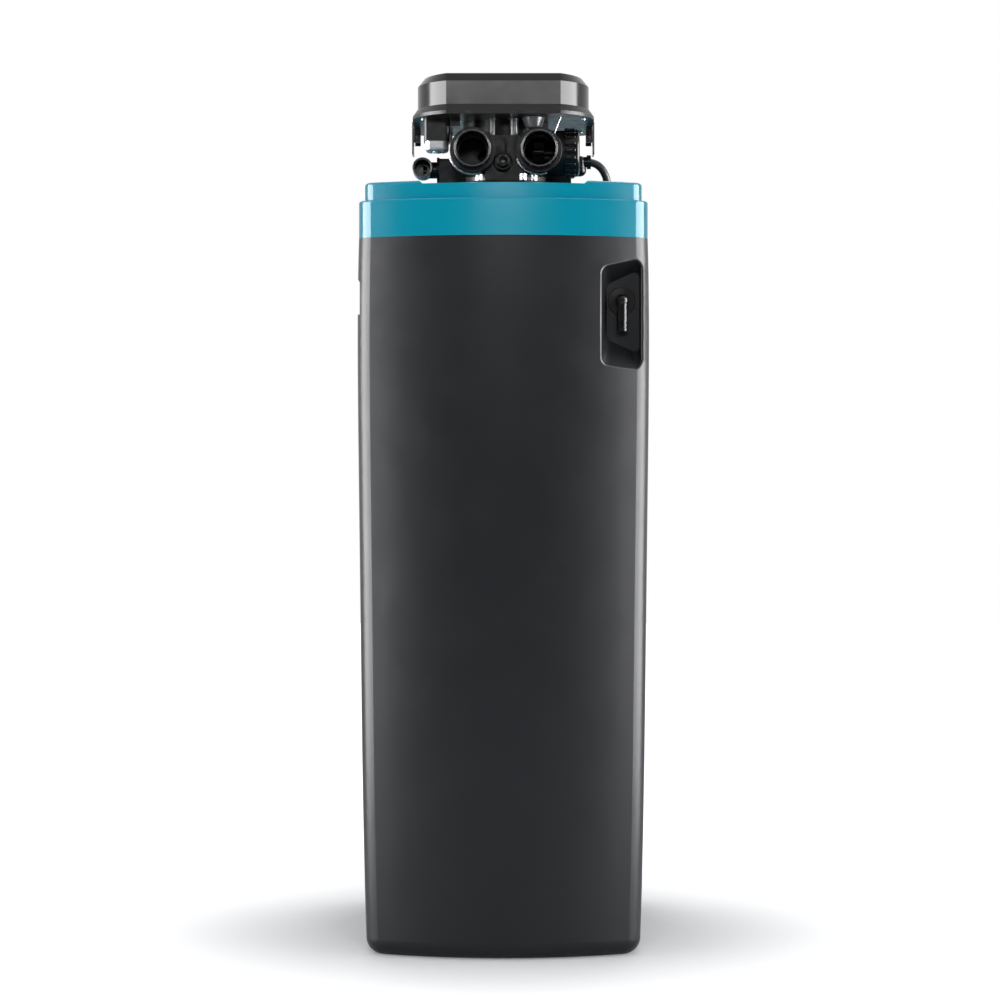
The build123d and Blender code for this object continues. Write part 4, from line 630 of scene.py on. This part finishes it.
def turn_profile(profile_mm, steps=64):
    """A form turned round its own Z axis from (radius, height) points, closed where it meets the axis."""
    clear_selection()
    bpy.ops.mesh.primitive_plane_add(size=MM)
    piece = bpy.context.object
    bpy.ops.object.mode_set(mode="EDIT")
    bpy.ops.mesh.select_mode(type="VERT")
    bpy.ops.mesh.select_all(action="SELECT")
    bpy.ops.mesh.merge(type="CENTER")
    points = [Vector((radius * MM, 0.0, height * MM)) for radius, height in profile_mm]
    bpy.ops.transform.translate(value=points[0])
    for start, end in zip(points, points[1:]):
        bpy.ops.mesh.extrude_region_move(TRANSFORM_OT_translate={"value": end - start})
    bpy.ops.mesh.select_all(action="SELECT")
    bpy.ops.mesh.spin(steps=steps, angle=2 * math.pi, center=(0, 0, 0), axis=(0, 0, 1))
    bpy.ops.mesh.select_all(action="SELECT")
    bpy.ops.mesh.remove_doubles(threshold=0.005 * MM)
    bpy.ops.mesh.normals_make_consistent(inside=False)
    bpy.ops.object.mode_set(mode="OBJECT")
    return piece


def lay_along(piece, centre, axis):
    """Turns a piece's Z axis to point along axis and puts its origin at centre."""
    piece.rotation_mode = "QUATERNION"
    piece.rotation_quaternion = Vector(axis).to_track_quat("Z", "Y")
    piece.location = centre
    only(piece)
    bpy.ops.object.transform_apply(location=True, rotation=True, scale=True)
    return piece


def rounded_block(centre, size_mm, edge_mm, segments=3):
    """A block with its edges rounded, as a moulded rib or a small housing."""
    clear_selection()
    bpy.ops.mesh.primitive_cube_add(size=1, location=centre)
    piece = bpy.context.object
    piece.scale = [side * MM for side in size_mm]
    bpy.ops.object.transform_apply(location=True, rotation=True, scale=True)
    modify(piece, "BEVEL", width=edge_mm * MM, segments=segments, limit_method="ANGLE")
    return piece


class Finish(bpy.types.Operator):
    """Gives every frame node its material"""

    bl_idname = "softener.finish"
    bl_label = "Finish the frame's nodes"

    def execute(self, context):
        for make in (*FINISHES, *EXTRA_FINISHES):
            material = make()
            for name in FINISHES.get(make, ()):
                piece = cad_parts[name]
                for place in piece.material_slots:
                    place.material = material
                if not piece.material_slots:
                    raise RuntimeError(f"{name} has no material slot")
        missing = set(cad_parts) - {name for names in FINISHES.values() for name in names}
        if missing:
            raise RuntimeError(f"no finish for {sorted(missing)}")
        return {"FINISHED"}


class Stage(bpy.types.Operator):
    """Sets the floor, the soft lights, the white surround and the camera"""

    bl_idname = "softener.stage"
    bl_label = "Set the stage"

    def execute(self, context):
        stage = settings().stage
        clear_selection()
        bpy.ops.mesh.primitive_plane_add(size=16, location=(0, 0, 0))
        floor = bpy.context.object
        floor.name = "floor_sheet"
        floor.data.materials.append(self.floor_paper(stage.floor))
        self.surround()
        self.dark_card()
        # Tall soft boxes at both sides are only mirrored, and draw the bright corners
        for side in (-1, 1):
            box = self.soft_box("side_box", (side * 1.5, -0.5, 0.8), (0, -0.15, 0.7), 1.3, 1.9, 125)
            box.visible_diffuse = False
        # The others light the object; the fill by the camera isn't mirrored
        self.soft_box("top_box", (0.0, 0.7, 2.4), (0, 0, 0.9), 1.6, 1.0, 14)
        self.soft_box("head_box", (0.0, -3.4, 1.6), (0, 0, 1.0), 0.9, 0.4, 8)
        fill = self.soft_box("fill_box", (0.2, -3.4, 1.7), (0, 0, 0.7), 1.6, 1.2, 28)
        fill.visible_glossy = False
        bpy.ops.object.camera_add(
            location=(-0.004, -stage.camera_distance, stage.camera_height), rotation=(math.pi / 2, 0, 0)
        )
        camera = bpy.context.object
        camera.data.lens = stage.lens
        camera.data.sensor_width = 36
        camera.data.clip_end = 50
        context.scene.camera = camera
        context.scene.view_settings.view_transform = "Standard"
        return {"FINISHED"}

    def floor_paper(self, colour):
        """Plain pale paper that takes a soft shadow."""
        material, tree, shader = start_material("floor_paper", colour, 0.9)
        seen = add_node(tree, "ShaderNodeLightPath")
        # The paper glows more away from the object, so that only the shadow at its foot shows
        place = add_node(tree, "ShaderNodeTexCoord")
        away = add_node(
            tree, "ShaderNodeVectorMath", {"operation": "LENGTH"}, {0: place.outputs["Object"]}
        )
        spread = add_node(
            tree,
            "ShaderNodeMapRange",
            {"From Min": 0.2, "From Max": 0.75, "To Min": 0.05, "To Max": 1.0},
            {"Value": away.outputs["Value"]},
        )
        glow = add_node(
            tree,
            "ShaderNodeMath",
            {"operation": "MULTIPLY"},
            {0: seen.outputs["Is Camera Ray"], 1: spread.outputs["Result"]},
        )
        shader.inputs["Emission Color"].default_value = (1.0, 1.0, 1.0, 1.0)
        tree.links.new(glow.outputs["Value"], shader.inputs["Emission Strength"])
        return material

    def surround(self):
        """White where it is seen or mirrored, and a softer grey as light on the object."""
        world = bpy.data.worlds.new("surround")
        bpy.context.scene.world = world
        world.use_nodes = True
        tree = world.node_tree
        tree.nodes.clear()
        seen = add_node(tree, "ShaderNodeLightPath")
        mirrored = add_node(
            tree,
            "ShaderNodeMath",
            {"operation": "MAXIMUM"},
            {0: seen.outputs["Is Glossy Ray"], 1: seen.outputs["Is Transmission Ray"]},
        )
        shown = add_node(
            tree,
            "ShaderNodeMath",
            {"operation": "MAXIMUM"},
            {0: seen.outputs["Is Camera Ray"], 1: mirrored.outputs["Value"]},
        )
        light = add_node(tree, "ShaderNodeBackground", {"Color": (0.9, 0.95, 1.0, 1.0), "Strength": 0.42})
        white = add_node(tree, "ShaderNodeBackground", {"Color": (1.0, 1.0, 1.0, 1.0), "Strength": 1.0})
        chosen = add_node(
            tree,
            "ShaderNodeMixShader",
            {},
            {0: shown.outputs["Value"], 1: light.outputs["Background"], 2: white.outputs["Background"]},
        )
        add_node(tree, "ShaderNodeOutputWorld", {}, {"Surface": chosen.outputs["Shader"]})

    def dark_card(self):
        """A black card behind the camera, which keeps the faces turned to it dark."""
        clear_selection()
        bpy.ops.mesh.primitive_plane_add(size=1, location=(0, -4.2, 2.1), rotation=(math.pi / 2, 0, 0))
        card = bpy.context.object
        card.name = "dark_card"
        card.scale = (7.0, 4.2, 1)
        only(card)
        bpy.ops.object.transform_apply(location=True, rotation=True, scale=True)
        black = (0.0, 0.0, 0.0, 1.0)
        material, tree, shader = start_material("black_cloth", black, 1.0, {"Specular IOR Level": 0.0})
        card.data.materials.append(material)
        card.visible_camera = False

    def soft_box(self, name, place, target, width, height, power):
        """One rectangular soft light that faces a point on the object."""
        bpy.ops.object.light_add(type="AREA", location=place)
        lamp = bpy.context.object
        lamp.name = name
        lamp.rotation_mode = "QUATERNION"
        lamp.rotation_quaternion = (Vector(target) - Vector(place)).to_track_quat("-Z", "Y")
        lamp.data.shape = "RECTANGLE"
        lamp.data.size = width
        lamp.data.size_y = height
        lamp.data.energy = power
        return lamp


# Pieces


def ring_profile(radius_mm, half_mm, sides=10):
    """A small round section at a distance from the axis, for a bead or a ring."""
    return [
        (
            radius_mm + half_mm * math.cos(2 * math.pi * i / sides),
            half_mm * math.sin(2 * math.pi * i / sides),
        )
        for i in range(sides + 1)
    ]


def band_profile(inner_mm, outer_mm, length_mm, edge_mm):
    """A plain band's section with its two outer edges rounded."""
    rounded = [
        (outer_mm - edge_mm + edge_mm * math.cos(a), length_mm - edge_mm + edge_mm * math.sin(a))
        for a in (math.pi / 2, math.pi / 3, math.pi / 6, 0.0)
    ]
    lower = [(r, length_mm - h) for r, h in reversed(rounded)]
    return [(inner_mm, 0.0), *lower, *rounded, (inner_mm, length_mm), (inner_mm, 0.0)]


def port_centre(node):
    """The X and Z of an adapter's axis, and the Y of its open mouth, in metres."""
    low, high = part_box(node)
    return (low[0] + high[0]) / 2, (low[2] + high[2]) / 2, low[1]


class PortRims(bpy.types.Operator):
    """Beads round the mouths of the two adapters and the drain elbow"""

    bl_idname = "softener.port_rims"
    bl_label = "Port rims"

    def execute(self, context):
        bead = settings().sizes.rim_bead / MM
        for side in ("inlet", "outlet"):
            x, z, mouth = port_centre(f"{side}_adapter")
            rim = turn_profile(ring_profile(22.0 - bead, bead), 96)
            lay_along(rim, (x, mouth, z), (0, -1, 0))
            # The bead's pale finish is a painted highlight round the mouth
            settle(rim, f"{side}_rim", "softener", "rim_painted_highlight")
        low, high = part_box("drain_elbow")
        rim = turn_profile(ring_profile(11.3, 1.0), 64)
        lay_along(rim, (low[0] + 12.4 * MM, low[1], 0.941), (0, -1, 0))
        # The bead's pale finish is a painted highlight round the mouth
        settle(rim, "drain_rim", "drain", "rim_painted_highlight")
        return {"FINISHED"}


class SocketBands(bpy.types.Operator):
    """Thin moulded bands at the mouths of the valve's two sockets"""

    bl_idname = "softener.socket_bands"
    bl_label = "Socket bands"

    def execute(self, context):
        for side in ("inlet", "outlet"):
            x, z, mouth = port_centre(f"{side}_adapter")
            band = turn_profile(band_profile(26.2, 27.3, 4.0, 0.5), 96)
            # The socket's mouth lies this far behind the adapter's
            socket_depth = 21.5 * MM
            lay_along(band, (x, mouth + socket_depth, z), (0, -1, 0))
            settle(band, f"{side}_socket_band", "softener", "valve_noryl")
        return {"FINISHED"}


class FlangeScrews(bpy.types.Operator):
    """Socket-head screws that hold the valve's flange to the tank"""

    bl_idname = "softener.flange_screws"
    bl_label = "Flange screws"

    # Directions of the screws round the tank's axis, and how far out they stand
    angles = (244.5, 286.0, 296.5, 60.0, 120.0)
    circle = 74.5

    def execute(self, context):
        axis = middle("pressure_tank")
        low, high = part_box("flange_screws")
        screws = []
        for angle in self.angles:
            turn = math.radians(angle)
            place = (
                axis.x + self.circle * MM * math.cos(turn),
                axis.y + self.circle * MM * math.sin(turn),
                low[2],
            )
            screws.append(self.screw(place))
        piece = settle(join(screws), "flange_screw_heads", "softener", "bright_steel", 30)
        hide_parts("flange_screws")
        return {"FINISHED"}

    def screw(self, place):
        """One screw: a knurled round head with a rounded top edge and a hexagon socket."""
        sizes = settings().sizes
        rise = sizes.screw_rise
        clear_selection()
        bpy.ops.mesh.primitive_cylinder_add(
            vertices=36,
            radius=sizes.screw_head,
            depth=rise,
            location=(place[0], place[1], place[2] + rise / 2),
        )
        head = bpy.context.object
        bpy.ops.object.transform_apply(location=True, rotation=True, scale=True)
        for face in head.data.polygons:
            face.select = False
        sides = [face for face in head.data.polygons if abs(face.normal.z) < 0.5]
        for face in sides[::2]:
            face.select = True
        bpy.ops.object.mode_set(mode="EDIT")
        bpy.ops.mesh.select_mode(type="FACE")
        bpy.ops.mesh.inset(thickness=0.05 * MM, depth=-0.18 * MM, use_individual=True)
        bpy.ops.object.mode_set(mode="OBJECT")
        corner = math.radians(60)
        modify(head, "BEVEL", width=0.4 * MM, segments=2, limit_method="ANGLE", angle_limit=corner)
        clear_selection()
        bpy.ops.mesh.primitive_cylinder_add(
            vertices=6, radius=2.2 * MM, depth=6 * MM, location=(place[0], place[1], place[2] + rise)
        )
        key = bpy.context.object
        modify(head, "BOOLEAN", object=key, operation="DIFFERENCE", solver="EXACT")
        bpy.data.objects.remove(key)
        return head


class InjectorBolt(bpy.types.Operator):
    """The hexagon bolt between the ports, with its washer face and cupped head"""

    bl_idname = "softener.injector_bolt"
    bl_label = "Injector bolt"

    def execute(self, context):
        low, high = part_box("injector_bolt")
        centre = ((low[0] + high[0]) / 2, low[1], (low[2] + high[2]) / 2)
        clear_selection()
        bpy.ops.mesh.primitive_cylinder_add(
            vertices=6, radius=12.7 / math.sqrt(3) * MM, depth=6 * MM, location=(0, 0, 3 * MM)
        )
        head = bpy.context.object
        bpy.ops.object.transform_apply(location=True, rotation=True, scale=True)
        # The outer face is dished, as a moulding is where it would sink
        for face in head.data.polygons:
            face.select = face.normal.z > 0.5
        bpy.ops.object.mode_set(mode="EDIT")
        bpy.ops.mesh.select_mode(type="FACE")
        bpy.ops.mesh.inset(thickness=1.6 * MM, depth=0)
        bpy.ops.mesh.inset(thickness=0.9 * MM, depth=-1.4 * MM)
        bpy.ops.object.mode_set(mode="OBJECT")
        corner = math.radians(25)
        modify(head, "BEVEL", width=0.45 * MM, segments=3, limit_method="ANGLE", angle_limit=corner)
        lay_along(head, centre, (0, -1, 0))
        # The head's own height is measured from its outer face
        head.location.y = 6 * MM
        washer = turn_profile(band_profile(0.0, 8.4, 1.5, 0.5))
        lay_along(washer, (centre[0], centre[1] + 7.5 * MM, centre[2]), (0, -1, 0))
        ring = turn_profile(band_profile(9.6, 11.2, 2.2, 0.6))
        lay_along(ring, (centre[0], centre[1] + 8.0 * MM, centre[2]), (0, -1, 0))
        shank = turn_profile([(0, 0), (5, 0), (5, 20), (0, 20)], 48)
        lay_along(shank, (centre[0], centre[1] + 27.5 * MM, centre[2]), (0, -1, 0))
        bolt = join([head, washer, shank])
        piece = settle(bolt, "injector_bolt_head", "softener", "adapter_acetal")
        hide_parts("injector_bolt")
        settle(ring, "injector_boss_ring", "softener", "valve_noryl")
        return {"FINISHED"}


class MeterNut(bpy.types.Operator):
    """The meter's ribbed nut: a domed cap with round-backed finger ribs"""

    bl_idname = "softener.meter_nut"
    bl_label = "Meter nut"

    def execute(self, context):
        low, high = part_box("meter_nut")
        centre = Vector((low[0], (low[1] + high[1]) / 2, (low[2] + high[2]) / 2))
        length = (high[0] - low[0]) / MM
        dome = [
            (24.2 + 4.3 * math.cos(a), length - 4.3 + 4.3 * math.sin(a))
            for a in (0.0, math.pi / 8, math.pi / 4, 3 * math.pi / 8, math.pi / 2)
        ]
        outside = [(24.8, 0), (28.5, 0), *dome, (15, length), (14, length - 1.2), (0, length - 1.2)]
        inside = [(0, length - 4.0), (24.8, length - 4.0), (24.8, 0)]
        cap = turn_profile(outside + inside, 96)
        parts = [cap]
        rib_count = 20
        rib_circle = 28.4 * MM
        rib_length = length - 5.0
        for i in range(rib_count):
            turn = 2 * math.pi * i / rib_count
            rib = rounded_block((0, 0, 0), (2.6, 4.4, rib_length), 1.2)
            rib.rotation_euler = (0, 0, turn)
            rib.location = (
                rib_circle * math.cos(turn),
                rib_circle * math.sin(turn),
                rib_length / 2 * MM,
            )
            only(rib)
            bpy.ops.object.transform_apply(location=True, rotation=True, scale=True)
            parts.append(rib)
        nut = join(parts)
        lay_along(nut, centre, (1, 0, 0))
        settle(nut, "meter_nut_ribbed", "softener", "adapter_acetal", 50)
        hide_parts("meter_nut")
        return {"FINISHED"}


class ValveRibs(bpy.types.Operator):
    """Moulded gussets round the valve's drum, and the webs between its sockets"""

    bl_idname = "softener.valve_ribs"
    bl_label = "Valve ribs"

    def execute(self, context):
        axis = middle("pressure_tank")
        ribs = []
        for angle in (20, 45, 75, 105, 135, 160):
            turn = math.radians(angle)
            rib = rounded_block((0, 0, 0), (24, 3, 40), 0.8)
            rib.rotation_euler = (0, 0, turn)
            rib.location = (axis.x + 62 * MM * math.cos(turn), axis.y + 62 * MM * math.sin(turn), 0.9395)
            only(rib)
            bpy.ops.object.transform_apply(location=True, rotation=True, scale=True)
            ribs.append(rib)
        for x in (-14, 3, 20):
            ribs.append(rounded_block((x * MM, -0.1655, 0.962), (2.4, 3.0, 24), 0.8))
        settle(join(ribs), "valve_gussets", "softener", "valve_noryl", 50)
        return {"FINISHED"}


class HeadUnderside(bpy.types.Operator):
    """The stay beside the meter, the collars of the pillars and the screws under the head"""

    bl_idname = "softener.head_underside"
    bl_label = "Head underside"

    def execute(self, context):
        stay = turn_profile([(0, 0), (0.9, 0.3), (0.9, 22.0), (0, 22.4)], 16)
        lay_along(stay, (0.0605, -0.1665, 0.9755), (0.36, 0, 0.93))
        settle(stay, "meter_stay", "softener", "bright_steel")
        collars = []
        for x, radius in ((-13, 3.0), (13, 4.5)):
            collar = turn_profile(band_profile(0, radius + 1.6, 2.4, 0.7), 48)
            lay_along(collar, (x * MM, -0.1585, 0.9936), (0, 0, 1))
            collars.append(collar)
        settle(join(collars), "pillar_collars", "softener", "sensor_grey")
        screws = []
        for x, y in ((-96, -40), (96, -40), (-96, -150), (96, -150), (-40, -20), (40, -20)):
            screws.append(self.case_screw(x, y))
        settle(join(screws), "case_screws", "softener", "bright_steel", 30)
        return {"FINISHED"}

    def case_screw(self, x, y):
        """One pan-head screw with a six-sided recess, pointing down."""
        radius = settings().sizes.case_screw / MM
        head = turn_profile(
            [(0, -0.4), (radius, -0.4), (radius, 0.5), (radius * 0.86, 1.3), (radius * 0.5, 1.8), (0, 2.0)],
            32,
        )
        clear_selection()
        bpy.ops.mesh.primitive_cylinder_add(
            vertices=6, radius=1.3 * MM, depth=2.4 * MM, location=(0, 0, 2 * MM)
        )
        key = bpy.context.object
        bpy.ops.object.transform_apply(location=True, rotation=True, scale=True)
        modify(head, "BOOLEAN", object=key, operation="DIFFERENCE", solver="EXACT")
        bpy.data.objects.remove(key)
        return lay_along(head, (x * MM, y * MM, 0.996), (0, 0, -1))


class MotorEnd(bpy.types.Operator):
    """The drive motor's pressed end: a bearing boss and rivets"""

    bl_idname = "softener.motor_end"
    bl_label = "Motor end"

    def execute(self, context):
        low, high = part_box("drive_motor")
        centre = middle("drive_motor")
        profile = [(0, 1.6), (2.2, 1.6), (2.4, 1.2), (5.2, 1.2), (6.0, 0.4), (6.0, -0.6), (0, -0.6)]
        boss = turn_profile(profile, 48)
        lay_along(boss, (centre.x, centre.y, low[2]), (0, 0, -1))
        parts = [boss]
        for turn in (45, 135, 225, 315):
            reach = 10.5 * MM
            place = (
                centre.x + reach * math.cos(math.radians(turn)),
                centre.y + reach * math.sin(math.radians(turn)),
                low[2],
            )
            rivet = turn_profile([(0, 0.9), (0.8, 0.7), (1.3, 0.2), (1.3, -0.4), (0, -0.4)], 24)
            parts.append(lay_along(rivet, place, (0, 0, -1)))
        settle(join(parts), "motor_end_boss", "softener", "motor_zinc", 35)
        return {"FINISHED"}


def on_panel(across_mm, down_mm, out_mm):
    """A point on the head's sloping panel: across, down its slope, and out from it."""
    slope = math.sqrt(0.5)
    x = across_mm
    y = -27 + (down_mm + out_mm) * slope
    z = 1030 + (out_mm - down_mm) * slope
    return Vector((x, y, z)) * MM


def lay_on_panel(piece, across_mm, down_mm, out_mm):
    """Turns a flat piece modelled facing +Z, with +Y up the slope, onto the head's panel."""
    piece.rotation_mode = "XYZ"
    piece.rotation_euler = (math.radians(45), 0, math.pi)
    piece.location = on_panel(across_mm, down_mm, out_mm)
    only(piece)
    bpy.ops.object.transform_apply(location=True, rotation=True, scale=True)
    return piece


class KeyMarks(bpy.types.Operator):
    """Plain marks on the four keys: two arrow heads, three bars and a turning arrow"""

    bl_idname = "softener.key_marks"
    bl_label = "Key marks"

    out = 1.55

    def execute(self, context):
        self.arrow_head("up_mark", 50, 7, "up_key", 1)
        self.arrow_head("down_mark", 50, -7, "down_key", -1)
        self.bars("menu_mark", -50, 7)
        self.turning_arrow("regenerate_mark", -50, -7)
        return {"FINISHED"}

    def triangle(self, radius_mm, turn):
        """A thin three-cornered plate with softened corners."""
        clear_selection()
        bpy.ops.mesh.primitive_cylinder_add(vertices=3, radius=radius_mm * MM, depth=0.3 * MM)
        plate = bpy.context.object
        plate.rotation_euler = (0, 0, turn)
        only(plate)
        bpy.ops.object.transform_apply(location=True, rotation=True, scale=True)
        modify(plate, "BEVEL", width=0.12 * MM, segments=2, limit_method="ANGLE")
        return plate

    def arrow_head(self, name, across, down, body, way):
        plate = self.triangle(2.2, 0 if way > 0 else math.pi)
        lay_on_panel(plate, across, down, self.out)
        settle(plate, name, body, "key_print")

    def bars(self, name, across, down):
        plates = [rounded_block((0, step * MM, 0), (3.6, 0.6, 0.3), 0.1) for step in (-1.2, 0, 1.2)]
        lay_on_panel(join(plates), across, down, self.out)
        settle(bpy.context.object, name, "menu_key", "key_print")

    def turning_arrow(self, name, across, down):
        """A flat arrow that curves round most of a ring, as on a restart key."""
        ring = turn_profile([(1.5, -0.15), (2.1, -0.15), (2.1, 0.15), (1.5, 0.15), (1.5, -0.15)], 36)
        gap = rounded_block((1.8 * MM, -0.6 * MM, 0), (1.6, 1.4, 1), 0.1, 1)
        modify(ring, "BOOLEAN", object=gap, operation="DIFFERENCE", solver="EXACT")
        bpy.data.objects.remove(gap)
        tip = self.triangle(0.95, math.pi)
        tip.location = (1.8 * MM, 0, 0)
        lay_on_panel(join([ring, tip]), across, down, self.out)
        settle(bpy.context.object, name, "regenerate_key", "key_print")


class BoardParts(bpy.types.Operator):
    """What stands on the circuit board: the display and three small chips"""

    bl_idname = "softener.board_parts"
    bl_label = "Board parts"

    top = -8.5

    def execute(self, context):
        display = rounded_block((0, 0, 0), (66, 18, 4.4), 0.6)
        lay_on_panel(display, 0, 0, self.top + 2.2)
        settle(display, "display_block", "cover", "smoked_acrylic")
        chips = []
        for across, wide, deep in ((-42, 7, 7), (41, 5, 8), (-40, 3, 2)):
            chip = rounded_block((0, 0, 0), (wide, deep, 1.2), 0.2)
            chips.append(lay_on_panel(chip, across, 0, self.top + 0.6))
        settle(join(chips), "board_chips", "cover", "valve_noryl")
        return {"FINISHED"}


class BrineTube(bpy.types.Operator):
    """The stiff black tube from the valve's elbow, through the cover, to the brine well"""

    bl_idname = "softener.brine_tube"
    bl_label = "Brine tube"

    # The route's points, in millimetres, as the frame's own tube takes them
    route = (
        (102, -98, 951),
        (129, -98, 951),
        (129, -98, 862),
        (129, -38, 862),
        (92, 20, 808),
        (92, 70, 808),
    )

    def execute(self, context):
        curve = bpy.data.curves.new("brine_tube_run", "CURVE")
        curve.dimensions = "3D"
        curve.resolution_u = 16
        curve.bevel_depth = settings().sizes.tube_bore / 2
        curve.bevel_resolution = 6
        spline = curve.splines.new("NURBS")
        spline.points.add(len(self.route) - 1)
        for point, place in zip(spline.points, self.route):
            point.co = (*(Vector(place) * MM), 1.0)
        spline.order_u = 3
        spline.use_endpoint_u = True
        tube = bpy.data.objects.new("brine_tube_run", curve)
        bpy.context.scene.collection.objects.link(tube)
        curve.materials.append(finish_named("tube_polyethylene"))
        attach(tube, "softener")
        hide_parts("brine_tube")
        return {"FINISHED"}


PIECE_OPERATORS = (
    PortRims,
    SocketBands,
    FlangeScrews,
    InjectorBolt,
    MeterNut,
    ValveRibs,
    HeadUnderside,
    MotorEnd,
    KeyMarks,
    BoardParts,
    BrineTube,
)


class SoftenerPanel(bpy.types.Panel):
    """Lists the softener's steps in the sidebar"""

    bl_idname = "VIEW3D_PT_softener"
    bl_label = "Water softener"
    bl_space_type = "VIEW_3D"
    bl_region_type = "UI"
    bl_category = "Softener"

    def draw(self, context):
        for operator in (Finish, *PIECE_OPERATORS, Stage):
            self.layout.operator(operator.bl_idname, text=operator.bl_label)


GROUPS = (SoftenerColours, SoftenerSizes, SoftenerStage, SoftenerSettings)
CLASSES = (*GROUPS, Finish, *PIECE_OPERATORS, Stage, SoftenerPanel)


def register():
    for kind in CLASSES:
        bpy.utils.register_class(kind)
    bpy.types.Scene.softener = bpy.props.PointerProperty(type=SoftenerSettings)


def unregister():
    del bpy.types.Scene.softener
    for kind in reversed(CLASSES):
        bpy.utils.unregister_class(kind)


def main():
    """Builds every step in order."""
    register()
    for operator in (Finish, *PIECE_OPERATORS, Stage):
        group, name = operator.bl_idname.split(".")
        getattr(getattr(bpy.ops, group), name)()


if __name__ == "__main__":
    main()
